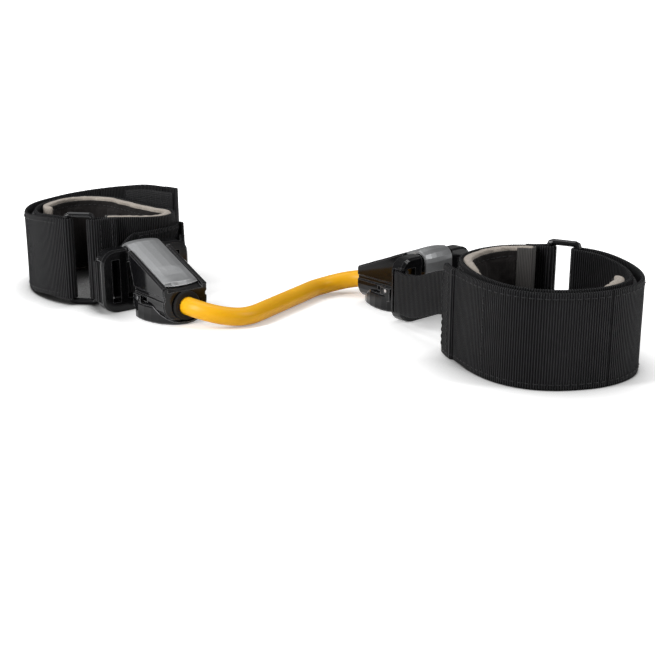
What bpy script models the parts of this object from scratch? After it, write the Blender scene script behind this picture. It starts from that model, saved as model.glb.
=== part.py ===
"""Lateral resistance trainer: two padded ankle cuffs joined by a stretch tube.

Each end of the tube is held in a spring clip that hooks over the neck of a flat
moulded ring. Webbing ties the ring to a padded cuff, which closes with a hook and
loop tail through a slide loop. The trainer lies on the floor as it was pictured.

Sizes below are in millimetres. Everything is turned to metres as it is placed.
Plan places are X to the right and Y away from the viewer, with Z up from the floor.
"""
import math

import bmesh
import bpy
from mathutils import Matrix, Vector

MM = 0.001

# Cloth, webbing and pads
WEBBING_WIDTH = 50.0
WEBBING_THICK = 2.0
WEBBING_EDGE = 0.5
PAD_THICK = 5.0
PAD_CROWN = 0.5
PAD_PINCH = 0.4
LINING_THICK = 0.8
LINING_MARGIN = 2.0
PATCH_MARGIN = 3.0
PILE_THICK = 1.8
HOOK_THICK = 1.2
HOOK_LENGTH = 46.0
HEM_THICK = 3.6
HEM_LENGTH = 12.0
BINDING_THICK = 0.8
BINDING_LENGTH = 8.0
RETURN_LENGTH = 13.0
LAYER_GAP = 0.3
TURN_GAP = 0.35
PILE_END = 44.0
PAD_START = 15.0
PAD_CURL_LENGTH = 14.0
GIRTH_STEP = 4.5

# Slide loop
LOOP_ROD = 3.4
LOOP_PITCH = 16.5
LOOP_WINDOW_GAP = 0.4
LOOP_CORNER = 2.0
LIFT_FLAT = 12.0
LIFT_FADE = 45.0

# Anchor webbing
ANCHOR_WIDTH = 25.0
ANCHOR_THICK = 1.6
ANCHOR_FOLD = 1.6
ANCHOR_Z_RING = 6.8
ANCHOR_Z_CUFF = 18.0
ANCHOR_RETURN = 8.0
ANCHOR_CONVERGE = 8.0

# Anchor ring
RING_LENGTH = 60.0
RING_DEPTH = 9.0
RING_CORNER = 8.5
NECK_RADIUS = 4.5
NECK_HEIGHT = 34.0
WINDOW_HALF = 13.2
WINDOW_FLOOR = 8.0
INNER_BAR = 5.0
SLOT_WIDTH = 5.3
END_BAR_RADIUS = 2.2
END_BAR_BACK = 2.2
END_BAR_INSET = 2.7
END_CLEAR_GAP = 0.6
LIP_GAP = 0.4

# Clip
SADDLE_GAP = 0.5
PLATE_EDGE = 1.6
PLATE_CROWN = 1.1
PLATE_HALF = 11.25
PLATE_TIP = 46.0
PLATE_ARCH = 1.6
PLATE_SCOOP = 0.7
SCOOP_BACK = 9.0
SCOOP_REACH = 7.0
LEG_THICK = 3.0
SEAT_GAP = 0.3
HOUSING_REAR = 9.0
HOUSING_FRONT = 49.0
HOUSING_HALF = 15.0
HOUSING_BOTTOM = 2.0
BELLY_RADIUS = 10.0
RAIL_RISE = 2.2
RAIL_GAP = 0.35
GROOVE_DEPTH = 0.8
SLOT_HALF = 7.8
SLOT_END = 27.0
TUBE_AXIS_Z = 11.0
CHAMBER_RADIUS = 7.0
CHAMBER_REAR = 29.0
COLLAR_REAR = 41.0
COLLAR_RADIUS = 7.6
COLLAR_GAP = 0.3
COLLAR_LIP_RADIUS = 8.9
COLLAR_LIP_THICK = 1.7
MOUTH_WALL = 1.35

# Release slide
SLIDE_TRAVEL = 7.0
SLIDE_GAP = 0.35
SLIDE_HALF = 18.0
SLIDE_WIDEST = 24.0
SLIDE_TIP = 51.5
SLIDE_REAR = 17.0
SLIDE_FLARE_TOP = 10.0
EAR_TOP = 14.5
EAR_OUT = 17.2
RISER_REAR = 14.5
RISER_THICK = 2.7
TONGUE_TIP = -2.0
TONGUE_HALF = 6.0
TONGUE_THICK = 3.0
PIN_RADIUS = 1.0
PIN_X = 22.0
PIN_Z = 12.5
PIN_GAP = 0.3
SPRING_RADIUS = 3.2
SPRING_WIRE = 0.5
SPRING_TURNS = 4
SPRING_Z = 12.0

# Tube
TUBE_RADIUS = 5.4
TUBE_GAP = 0.3
TUBE_END = 39.0
PLUG_RADIUS = 6.5
PLUG_LENGTH = 9.4

# Layout on the floor
LAYOUT_ORIGIN = (-16.73, 687.54)
TUBE_ROUTE = [
    (-76.19, 668.24, 10.51),
    (-68.3, 664.92, 9.13),
    (-59.76, 664.4, 7.48),
    (-51.53, 666.75, 6.18),
    (-44.55, 671.71, 5.8),
    (-39.52, 678.65, 5.8),
    (-35.11, 686.03, 5.8),
    (-30.71, 693.42, 5.8),
    (-26.28, 700.85, 5.8),
    (-21.88, 708.24, 5.8),
    (-17.48, 715.63, 5.8),
    (-13.07, 723.01, 5.8),
    (-8.54, 730.32, 5.8),
    (-2.24, 736.11, 6.18),
    (5.67, 739.37, 7.48),
    (14.22, 739.7, 9.13),
    (22.36, 737.05, 10.51),
]

SIDES = {
    "left": {
        "anchor": (-113.0, 713.0),
        "heading": -52.0,
        "girth": [
            (-150.0, 721.0), (-139.0, 722.5), (-128.0, 726.0), (-117.0, 733.0), (-108.0, 742.0),
            (-102.5, 751.0), (-104.0, 759.5), (-113.0, 767.0), (-124.0, 777.0), (-136.0, 790.0),
            (-147.0, 800.5), (-159.0, 805.0), (-171.0, 802.5), (-180.0, 793.0), (-185.0, 779.0),
            (-184.5, 763.0), (-179.5, 748.0), (-171.0, 735.5), (-161.0, 726.0),
        ],
        "pad_end": (-185.0, 768.0),
        "split": (-147.0, 800.0),
        "tail_end": (-110.5, 765.0),
        "root_a": 30.0,
        "root_b": 63.0,
        "stand_off": 8.0,
        "stand_fade": 60.0,
        "rise": 10.5,
        "rise_from": 168.0,
        "rise_run": 70.0,
        "pad_curl": 5.0,
        "pad_drop": 0.0,
        "pad_slip": (75.0, 95.0, 160.0, 178.0),
    },
    "right": {
        "anchor": (62.0, 694.5),
        "heading": 131.5,
        "girth": [
            (126.5, 636.0), (117.0, 640.5), (108.0, 645.0), (98.0, 648.5), (88.0, 647.5),
            (80.0, 641.5), (76.0, 632.0), (76.5, 618.0), (79.5, 604.0), (85.5, 589.0),
            (93.5, 578.0), (103.0, 572.0), (113.0, 570.0), (123.5, 571.3), (133.5, 574.5),
            (143.0, 581.0), (150.0, 590.0), (152.0, 600.5), (149.5, 611.5), (143.5, 622.0),
            (136.0, 629.8),
        ],
        "pad_end": (151.3, 594.5),
        "split": (123.5, 571.3),
        "tail_end": (76.3, 622.0),
        "root_a": 30.0,
        "root_b": 65.0,
        "stand_off": 2.0,
        "stand_fade": 24.0,
        "rise": 0.0,
        "rise_from": 168.0,
        "rise_run": 70.0,
        "pad_curl": 3.0,
        "pad_drop": 4.0,
        "pad_slip": (75.0, 95.0, 160.0, 178.0),
    },
}

MATERIALS = {
    "foam": ((0.56, 0.53, 0.46), 0.85, 0.0),
    "lining": ((0.012, 0.012, 0.013), 0.80, 0.0),
    "binding": ((0.20, 0.20, 0.21), 0.70, 0.0),
    "webbing": ((0.014, 0.014, 0.015), 0.62, 0.0),
    "pile": ((0.018, 0.018, 0.019), 0.95, 0.0),
    "hook": ((0.022, 0.022, 0.024), 0.60, 0.0),
    "moulding": ((0.016, 0.016, 0.018), 0.35, 0.0),
    "gloss": ((0.010, 0.010, 0.012), 0.15, 0.0),
    "silver": ((0.70, 0.71, 0.73), 0.22, 1.0),
    "steel": ((0.60, 0.60, 0.62), 0.25, 1.0),
    "rubber": ((0.012, 0.012, 0.012), 0.55, 0.0),
    "tube": ((0.86, 0.50, 0.02), 0.30, 0.0),
}

# Offsets of the layers from the middle of the pad, derived once
PAD_FACE = PAD_THICK / 2
STRAP_OFFSET = PAD_FACE + LAYER_GAP + WEBBING_THICK / 2
STRAP_FACE = STRAP_OFFSET + WEBBING_THICK / 2
PILE_OFFSET = STRAP_FACE + LAYER_GAP + PILE_THICK / 2
ANCHOR_OFFSET = STRAP_FACE + LAYER_GAP + ANCHOR_THICK / 2
RETURN_OFFSET = STRAP_FACE + LAYER_GAP + WEBBING_THICK / 2
TURN_RADIUS = LOOP_ROD / 2 + TURN_GAP + WEBBING_THICK / 2
BAR_OFFSET = STRAP_OFFSET + TURN_RADIUS
TAIL_OFFSET = STRAP_OFFSET + 2 * TURN_RADIUS
TAIL_FACE = TAIL_OFFSET + WEBBING_THICK / 2
HOOK_OFFSET = TAIL_OFFSET - WEBBING_THICK / 2 - LAYER_GAP - HOOK_THICK / 2
LIFT = LOOP_ROD + LOOP_WINDOW_GAP
LOOP_HEIGHT = WEBBING_WIDTH + 2 * LIFT

# Ring and clip heights and faces, derived once
RING_TOP = NECK_HEIGHT + NECK_RADIUS
SLOT_START = WINDOW_HALF + INNER_BAR
SLOT_STOP = SLOT_START + SLOT_WIDTH
END_BAR_Y = RING_LENGTH / 2 - END_BAR_INSET
CLEAR_LOW = ANCHOR_Z_RING - END_CLEAR_GAP
CLEAR_HIGH = ANCHOR_Z_RING + ANCHOR_WIDTH + END_CLEAR_GAP
ANCHOR_TURN = END_BAR_RADIUS + LAYER_GAP + ANCHOR_THICK / 2
LIP_BACK = -END_BAR_BACK + ANCHOR_TURN + ANCHOR_THICK / 2 + LIP_GAP
SADDLE_RADIUS = NECK_RADIUS + SADDLE_GAP
SADDLE_OUT = SADDLE_RADIUS + PLATE_EDGE
TONGUE_TOP = NECK_HEIGHT - 7.5
SLOT_TOP = TONGUE_TOP + 0.4


def cover_slope():
    """The slope that leaves the cover plate its wall above the mouth for the tube."""
    want = TUBE_AXIS_Z + COLLAR_RADIUS + COLLAR_GAP + MOUTH_WALL + SEAT_GAP
    low = 0.0
    high = math.radians(60)
    for _ in range(50):
        mid = (low + high) / 2
        reach = NECK_HEIGHT + SADDLE_RADIUS / math.cos(mid) - HOUSING_FRONT * math.tan(mid)
        if reach > want:
            low = mid
        else:
            high = mid
    return (low + high) / 2


SLOPE = cover_slope()


# Small tools

def clear_scene():
    for item in list(bpy.data.objects):
        bpy.data.objects.remove(item)


def material(name):
    found = bpy.data.materials.get(name)
    if found:
        return found
    colour, rough, metal = MATERIALS[name]
    made = bpy.data.materials.new(name)
    made.use_nodes = True
    shader = made.node_tree.nodes["Principled BSDF"]
    shader.inputs["Base Color"].default_value = (*colour, 1.0)
    shader.inputs["Roughness"].default_value = rough
    shader.inputs["Metallic"].default_value = metal
    made.diffuse_color = (*colour, 1.0)
    return made


def mesh_object(name, points, faces):
    mesh = bpy.data.meshes.new(name)
    mesh.from_pydata([tuple(p) for p in points], [], faces)
    mesh.validate()
    made = bpy.data.objects.new(name, mesh)
    bpy.context.scene.collection.objects.link(made)
    return made


def loft(name, rings):
    """A closed body through rings of equal count, with a flat cap at each end."""
    count = len(rings[0])
    points = [p for ring in rings for p in ring]
    faces = []
    for row in range(len(rings) - 1):
        for col in range(count):
            nxt = (col + 1) % count
            faces.append((row * count + col, row * count + nxt,
                          (row + 1) * count + nxt, (row + 1) * count + col))
    faces.append(tuple(reversed(range(count))))
    last = (len(rings) - 1) * count
    faces.append(tuple(range(last, last + count)))
    return mesh_object(name, points, faces)


def closed_loft(name, rings):
    """A ring-shaped body: the last section joins the first."""
    count = len(rings[0])
    total = len(rings)
    points = [p for ring in rings for p in ring]
    faces = []
    for row in range(total):
        ahead = (row + 1) % total
        for col in range(count):
            nxt = (col + 1) % count
            faces.append((row * count + col, row * count + nxt,
                          ahead * count + nxt, ahead * count + col))
    return mesh_object(name, points, faces)


def box(name, low, high):
    x0, y0, z0 = low
    x1, y1, z1 = high
    rings = [
        [(x0, y0, z0), (x1, y0, z0), (x1, y1, z0), (x0, y1, z0)],
        [(x0, y0, z1), (x1, y0, z1), (x1, y1, z1), (x0, y1, z1)],
    ]
    return loft(name, rings)


def rod(name, start, end, radius, sides):
    start = Vector(start)
    end = Vector(end)
    along = (end - start).normalized()
    side = Vector((0, 0, 1)) if abs(along.z) < 0.9 else Vector((1, 0, 0))
    across = along.cross(side).normalized()
    up = across.cross(along)
    rings = []
    for middle in (start, end):
        ring = []
        for k in range(sides):
            angle = 2 * math.pi * (k + 0.5) / sides
            ring.append(middle + radius * (math.cos(angle) * across + math.sin(angle) * up))
        rings.append(ring)
    return loft(name, rings)


def outward(made):
    """Turn every face of a closed body outward."""
    mesh = made.data
    volume = 0.0
    mesh.calc_loop_triangles()
    for tri in mesh.loop_triangles:
        a, b, c = [mesh.vertices[i].co for i in tri.vertices]
        volume += a.dot(b.cross(c))
    if volume < 0:
        mesh.flip_normals()


def flat_faces(made):
    """Split bent faces into triangles, so that cuts through them come out clean."""
    shape = bmesh.new()
    shape.from_mesh(made.data)
    bmesh.ops.triangulate(shape, faces=shape.faces[:])
    shape.to_mesh(made.data)
    shape.free()


def combine(target, tool, operation):
    """Join or cut with a second body, then drop the second body."""
    outward(target)
    outward(tool)
    step = target.modifiers.new("shape", "BOOLEAN")
    step.operation = operation
    step.solver = "EXACT"
    step.object = tool
    bpy.context.view_layer.update()
    graph = bpy.context.evaluated_depsgraph_get()
    shaped = bpy.data.meshes.new_from_object(target.evaluated_get(graph))
    target.modifiers.clear()
    target.data = shaped
    bpy.data.objects.remove(tool)


def settle(made, name, matter, place, origin, angle=38.0):
    """Scale to metres, put the origin on the joint axis, shade and colour."""
    outward(made)
    made.name = name
    mesh = made.data
    mesh.name = name
    mesh.transform(place)
    origin = place @ Vector(origin)
    mesh.transform(Matrix.Translation(-origin))
    made.location = origin
    for poly in mesh.polygons:
        poly.use_smooth = True
    mesh.set_sharp_from_angle(angle=math.radians(angle))
    mesh.materials.clear()
    mesh.materials.append(material(matter))
    return made


# Curves

def smooth_step(value):
    value = min(1.0, max(0.0, value))
    return value * value * (3 - 2 * value)


def catmull(points, closed, per_span):
    """Points read from a smooth curve through hand-chosen points."""
    points = [Vector(p) for p in points]
    total = len(points)
    spans = total if closed else total - 1
    out = []
    for k in range(spans):
        if closed:
            p0, p1, p2, p3 = [points[(k + d) % total] for d in (-1, 0, 1, 2)]
        else:
            p1 = points[k]
            p2 = points[k + 1]
            p0 = points[k - 1] if k > 0 else 2 * p1 - p2
            p3 = points[k + 2] if k + 2 < total else 2 * p2 - p1
        for j in range(per_span):
            t = j / per_span
            out.append(0.5 * (2 * p1 + (p2 - p0) * t + (2 * p0 - 5 * p1 + 4 * p2 - p3) * t * t
                              + (3 * p1 - p0 - 3 * p2 + p3) * t ** 3))
    if not closed:
        out.append(points[-1].copy())
    return out


def evenly(dense, count, closed):
    """The same curve as count equal steps."""
    track = dense + [dense[0]] if closed else dense
    marks = [0.0]
    for a, b in zip(track, track[1:]):
        marks.append(marks[-1] + (b - a).length)
    total = marks[-1]
    out = []
    seek = 0
    steps = count if closed else count + 1
    for k in range(steps):
        want = total * k / count
        while seek < len(marks) - 2 and marks[seek + 1] < want:
            seek += 1
        share = (want - marks[seek]) / (marks[seek + 1] - marks[seek])
        out.append(track[seek].lerp(track[seek + 1], min(1.0, share)))
    return out, total


class Girth:
    """The closed line of a cuff, seen from above, on which every layer is built."""

    def __init__(self, points):
        dense = catmull(points, True, 24)
        rough, total = evenly(dense, 10, True)
        self.count = round(total / GIRTH_STEP)
        self.points, self.length = evenly(dense, self.count, True)
        self.step = self.length / self.count
        self.normals = []
        for k in range(self.count):
            run = self.points[(k + 1) % self.count] - self.points[k - 1]
            run.normalize()
            self.normals.append(Vector((run.y, -run.x)))

    def at(self, s, offset):
        place = (s % self.length) / self.step
        low = int(place) % self.count
        share = place - int(place)
        high = (low + 1) % self.count
        a = self.points[low] + self.normals[low] * offset
        b = self.points[high] + self.normals[high] * offset
        return a.lerp(b, share)

    def side(self, s):
        return self.at(s, 1.0) - self.at(s, 0.0)

    def stations(self, start, stop):
        """Grid lines between two places, in either direction, ends included."""
        low, high = min(start, stop), max(start, stop)
        out = [low]
        k = math.ceil(low / self.step)
        while k * self.step < high:
            if k * self.step - out[-1] > 0.5 and high - k * self.step > 0.5:
                out.append(k * self.step)
            k += 1
        out.append(high)
        return out if start < stop else out[::-1]

    def nearest(self, point):
        """Place along the line closest to a plan point."""
        point = Vector(point)
        best = min(range(1000), key=lambda k: (self.at(k * self.length / 1000, 0) - point).length)
        return best * self.length / 1000


def lift(girth, s):
    """The webbing rises a little to pass through the slide loop's window."""
    away = abs((s + girth.length / 2) % girth.length - girth.length / 2)
    return LIFT * (1 - smooth_step((away - LIFT_FLAT) / LIFT_FADE))


def loop_bar(girth):
    """How far each bar of the slide loop lies from the start of the girth."""
    low = 0.0
    high = LOOP_PITCH
    for _ in range(40):
        mid = (low + high) / 2
        if (girth.at(mid, BAR_OFFSET) - girth.at(-mid, BAR_OFFSET)).length < LOOP_PITCH:
            low = mid
        else:
            high = mid
    return (low + high) / 2


# Flat strips

def strip(name, frames, edge=WEBBING_EDGE):
    """A flat band on edge. A frame is plan centre, side vector, low, high, thickness."""
    rings = []
    for centre, side, low, high, thick in frames:
        half = thick / 2
        ring = []
        for across, z in (
            (-half, low + edge), (-half + edge, low), (half - edge, low), (half, low + edge),
            (half, high - edge), (half - edge, high), (-half + edge, high), (-half, high - edge),
        ):
            spot = centre + side * across
            ring.append(Vector((spot.x, spot.y, z)))
        rings.append(ring)
    return loft(name, rings)


def mitred(points):
    """Side vectors for a plan path, widened at corners so the thickness holds."""
    out = []
    for k, point in enumerate(points):
        before = points[max(0, k - 1)]
        after = points[min(len(points) - 1, k + 1)]
        a = (point - before).normalized() if k > 0 else (after - point).normalized()
        b = (after - point).normalized() if k < len(points) - 1 else a
        mean = a + b
        mean.normalize()
        stretch = 1 / max(0.5, mean.dot(a))
        out.append(Vector((mean.y, -mean.x)) * stretch)
    return out


def girth_frame(girth, s, offset, sign, rise=0.0, thick=WEBBING_THICK, margin=0.0):
    low = lift(girth, s) + rise
    return (girth.at(s, offset), girth.side(s) * sign, low + margin,
            low + WEBBING_WIDTH - margin, thick)


def turn_frames(girth, s, ahead, from_inside):
    """Half a turn of webbing round a slide loop bar."""
    centre = girth.at(s, BAR_OFFSET)
    out_dir = girth.side(s).normalized()
    along = Vector((-out_dir.y, out_dir.x)) * ahead
    frames = []
    for k in range(1, 8):
        angle = math.pi * k / 8
        reach = -math.cos(angle) if from_inside else math.cos(angle)
        arm = out_dir * reach + along * math.sin(angle)
        low = lift(girth, s)
        frames.append((centre + arm * TURN_RADIUS, -arm, low, low + WEBBING_WIDTH, WEBBING_THICK))
    return frames


# Cuff layers

def crown(z):
    """How far the pad's inner face swells or is drawn in at a height."""
    knots = [(1.0, -0.1), (5.0, -PAD_PINCH), (WEBBING_WIDTH / 2, PAD_CROWN),
             (WEBBING_WIDTH - 5.0, -PAD_PINCH), (WEBBING_WIDTH - 1.0, -0.1)]
    if z <= knots[0][0]:
        return knots[0][1]
    for (z0, v0), (z1, v1) in zip(knots, knots[1:]):
        if z <= z1:
            return v0 + (v1 - v0) * (z - z0) / (z1 - z0)
    return knots[-1][1]


def curl(side, s, stop):
    """The free end of the pad turns inward."""
    reach = max(0.0, (s - (stop - PAD_CURL_LENGTH)) / PAD_CURL_LENGTH)
    return -side["pad_curl"] * reach * reach


def pad_height(side, s):
    """Share of the webbing's height that the pad reaches: less where it has slipped down."""
    first, full, last, gone = side["pad_slip"]
    share = smooth_step((s - first) / (full - first)) * (1 - smooth_step((s - last) / (gone - last)))
    return 1 - side["pad_drop"] * share / WEBBING_WIDTH


def pad_foam(side, girth, stop):
    top = WEBBING_WIDTH
    rings = []
    for s in girth.stations(PAD_START, stop):
        shift = curl(side, s, stop)
        base = lift(girth, s)
        height = pad_height(side, s)
        section = [(PAD_FACE - 1.0, 0.0), (-PAD_FACE + 1.0, 0.0)]
        section += [(-PAD_FACE - crown(z), z) for z in (1.0, 5.0, top / 2, top - 5.0, top - 1.0)]
        section += [(-PAD_FACE + 1.0, top), (PAD_FACE - 1.0, top), (PAD_FACE - 0.1, top - 1.0),
                    (PAD_FACE, top - 4.0), (PAD_FACE, 4.0), (PAD_FACE - 0.1, 1.0)]
        ring = []
        for offset, z in section:
            spot = girth.at(s, offset + shift)
            ring.append(Vector((spot.x, spot.y, z * height + base)))
        rings.append(ring)
    return loft("pad_foam", rings)


def pad_lining(side, girth, stop):
    top = WEBBING_WIDTH
    heights = (LINING_MARGIN, 5.0, top / 2, top - 5.0, top - LINING_MARGIN)
    rings = []
    for s in girth.stations(PAD_START + BINDING_LENGTH + LAYER_GAP, stop - 0.4):
        shift = curl(side, s, stop)
        base = lift(girth, s)
        height = pad_height(side, s)
        outer = [(-PAD_FACE - crown(z) - LAYER_GAP, z) for z in heights]
        inner = [(offset - LINING_THICK, z) for offset, z in reversed(outer)]
        ring = []
        for offset, z in outer + inner:
            spot = girth.at(s, offset + shift)
            ring.append(Vector((spot.x, spot.y, z * height + base)))
        rings.append(ring)
    return loft("pad_lining", rings)


def pad_binding(girth):
    """Tape that folds over the pad's end beside the slide loop."""
    inner = -PAD_FACE - PAD_CROWN - LAYER_GAP - BINDING_THICK / 2
    front = PAD_START - LAYER_GAP - BINDING_THICK / 2
    route = [(PAD_START + BINDING_LENGTH, inner), (PAD_START + BINDING_LENGTH / 2, inner),
             (PAD_START + 0.2, inner), (front, inner + 0.2), (front, PAD_FACE - 0.6)]
    points = [girth.at(s, offset) for s, offset in route]
    frames = []
    for (s, offset), point, side in zip(route, points, mitred(points)):
        base = lift(girth, s)
        frames.append((point, side, base + 0.2, base + WEBBING_WIDTH - 0.2, BINDING_THICK))
    return strip("pad_binding", frames, 0.25)


def tail_rise(side, s):
    """The outer layer climbs a little on its way to the free end."""
    return side["rise"] * smooth_step((side["rise_from"] - s) / side["rise_run"])


def tail_shape(side, s, start):
    """Extra stand-off of the tail towards its free end, and its rise."""
    reach = smooth_step((start + side["stand_fade"] - s) / side["stand_fade"])
    return side["stand_off"] * reach, tail_rise(side, s)


def strap(side, girth, split):
    """One webbing: sewn return, turn, round the pad, turn, first part of the tail."""
    bar = loop_bar(girth)
    last = girth.length - bar
    frames = []
    for s in girth.stations(bar + RETURN_LENGTH, bar):
        drop = smooth_step((s - bar) / (RETURN_LENGTH - 3.0))
        offset = TAIL_OFFSET + (RETURN_OFFSET - TAIL_OFFSET) * drop
        frames.append(girth_frame(girth, s, offset, -1))
    frames += turn_frames(girth, bar, -1, False)
    for s in girth.stations(bar, last):
        frames.append(girth_frame(girth, s, STRAP_OFFSET, 1))
    frames += turn_frames(girth, last, 1, True)
    for s in girth.stations(last, split):
        frames.append(girth_frame(girth, s, TAIL_OFFSET, -1, tail_rise(side, s)))
    return strip("strap", frames)


def strap_tail(side, girth, split, end):
    """The part that peels off, with a folded hem at its end."""
    frames = []
    for s in girth.stations(split - LAYER_GAP, end):
        extra, rise = tail_shape(side, s, end)
        if s - end > HEM_LENGTH + 0.6:
            frames.append(girth_frame(girth, s, TAIL_OFFSET + extra, -1, rise))
    grow = (HEM_THICK - WEBBING_THICK) / 2
    hem = [(end + HEM_LENGTH + 0.4, WEBBING_THICK, 0.0), (end + HEM_LENGTH, HEM_THICK, grow)]
    hem += [(s, HEM_THICK, grow) for s in girth.stations(end + HEM_LENGTH - 1.0, end + 0.8)]
    hem += [(end, HEM_THICK - 1.2, grow)]
    for s, thick, shift in hem:
        extra, rise = tail_shape(side, s, end)
        frames.append(girth_frame(girth, s, TAIL_OFFSET + extra + shift, -1, rise, thick))
    return strip("strap_tail", frames)


def pile_patch(girth, start, stop):
    frames = [girth_frame(girth, s, PILE_OFFSET, 1, 0.0, PILE_THICK, PATCH_MARGIN)
              for s in girth.stations(start, stop)]
    return strip("pile_patch", frames, 0.4)


def hook_patch(side, girth, end):
    frames = []
    for s in girth.stations(end + HOOK_LENGTH, end + 2.0):
        extra, rise = tail_shape(side, s, end)
        frames.append(girth_frame(girth, s, HOOK_OFFSET + extra, -1, rise, HOOK_THICK, PATCH_MARGIN))
    return strip("hook_patch", frames, 0.3)


def slide_loop(girth):
    """Moulded rectangle of round rod with small corners."""
    bar = loop_bar(girth)
    one = girth.at(girth.length - bar, BAR_OFFSET)
    two = girth.at(bar, BAR_OFFSET)
    middle = (one + two) / 2
    along = (two - one).normalized()
    wide = (two - one).length / 2
    tall = (LOOP_HEIGHT - LOOP_ROD) / 2
    c = LOOP_CORNER
    quarter = [(wide, tall - c), (wide - 0.3 * c, tall - 0.3 * c), (wide - c, tall)]
    path = quarter + [(-u, v) for u, v in reversed(quarter)]
    path += [(-u, -v) for u, v in quarter] + [(u, -v) for u, v in reversed(quarter)]
    across = Vector((along.y, -along.x, 0.0))
    rings = []
    for k, (u, v) in enumerate(path):
        before = Vector(path[k - 1])
        here = Vector((u, v))
        after = Vector(path[(k + 1) % len(path)])
        a = (here - before).normalized()
        b = (after - here).normalized()
        mean = (a + b).normalized()
        out = Vector((mean.y, -mean.x)) / mean.dot(a)
        ring = []
        for j in range(10):
            angle = 2 * math.pi * (j + 0.5) / 10
            flat = here + out * (math.cos(angle) * LOOP_ROD / 2)
            base = middle + along * flat.x
            spot = Vector((base.x, base.y, flat.y + LOOP_HEIGHT / 2))
            ring.append(spot + across * (math.sin(angle) * LOOP_ROD / 2))
        rings.append(ring)
    return closed_loft("slide_loop", rings)


# Anchor webbing

def turned(vector, angle):
    c = math.cos(angle)
    s = math.sin(angle)
    return Vector((vector.x * c - vector.y * s, vector.x * s + vector.y * c))


def left_of(vector):
    return Vector((-vector.y, vector.x))


def anchor_branch(girth, s_root, sense, bar, hand):
    """Fold away from the strap, run to a ring bar, go round it and come back."""
    start = girth.at(s_root, ANCHOR_OFFSET)
    out_dir = girth.side(s_root).normalized()
    heading = left_of(out_dir) * -sense
    hub = start + left_of(heading) * sense * ANCHOR_FOLD
    fold = 0.0
    best = None
    while fold < math.pi:
        fold += math.radians(1.0)
        here = turned(heading, sense * fold)
        spot = hub - left_of(here) * sense * ANCHOR_FOLD
        touch = bar + left_of(here) * hand * ANCHOR_TURN
        miss = abs(here.x * (touch - spot).y - here.y * (touch - spot).x)
        if here.dot(touch - spot) > 0 and (best is None or miss < best[0]):
            best = (miss, fold)
    fold = best[1]
    here = turned(heading, sense * fold)
    spot = hub - left_of(here) * sense * ANCHOR_FOLD
    touch = bar + left_of(here) * hand * ANCHOR_TURN
    run = (touch - spot).length
    path = []
    steps = max(2, round(math.degrees(fold) / 24))
    for k in range(1, steps):
        turn = turned(heading, sense * fold * k / steps)
        path.append((hub - left_of(turn) * sense * ANCHOR_FOLD, run))
    legs = max(4, round(run / 6))
    for k in range(legs):
        path.append((spot.lerp(touch, k / legs), run * (1 - k / legs)))
    for k in range(0, 7):
        angle = math.pi * k / 6
        arm = left_of(here) * hand * math.cos(angle) + here * math.sin(angle)
        path.append((bar + arm * ANCHOR_TURN, 0.0))
    near = ANCHOR_THICK + LAYER_GAP
    for k in range(1, 5):
        back = ANCHOR_CONVERGE * k / 4
        across = -ANCHOR_TURN + (2 * ANCHOR_TURN - near) * smooth_step(k / 4)
        path.append((bar - here * back + left_of(here) * hand * across, back))
    back = ANCHOR_CONVERGE + ANCHOR_RETURN
    path.append((bar - here * back + left_of(here) * hand * (ANCHOR_TURN - near), back))
    rise = ANCHOR_Z_CUFF - ANCHOR_Z_RING
    clear = 9.0
    out = []
    for point, away in path:
        share = smooth_step((away - clear) / (run - clear))
        out.append((point, ANCHOR_Z_RING + rise * share))
    return out


def anchor_webbing(side, girth):
    place = plan_place(side)
    bar_a = (place @ Vector((-END_BAR_BACK, -END_BAR_Y, 0))).to_2d()
    bar_b = (place @ Vector((-END_BAR_BACK, END_BAR_Y, 0))).to_2d()
    low = side["root_a"]
    high = side["root_b"]
    branch_a = anchor_branch(girth, low, 1, bar_a, -1)
    branch_b = anchor_branch(girth, high, -1, bar_b, 1)
    middle = [(girth.at(s, ANCHOR_OFFSET), ANCHOR_Z_CUFF) for s in girth.stations(low, high)]
    path = branch_a[::-1] + middle + branch_b
    points = [p for p, z in path]
    frames = [(p, n, z, z + ANCHOR_WIDTH, ANCHOR_THICK)
              for (p, z), n in zip(path, mitred(points))]
    return strip("anchor_webbing", frames, 0.4)


# Anchor ring

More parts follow.
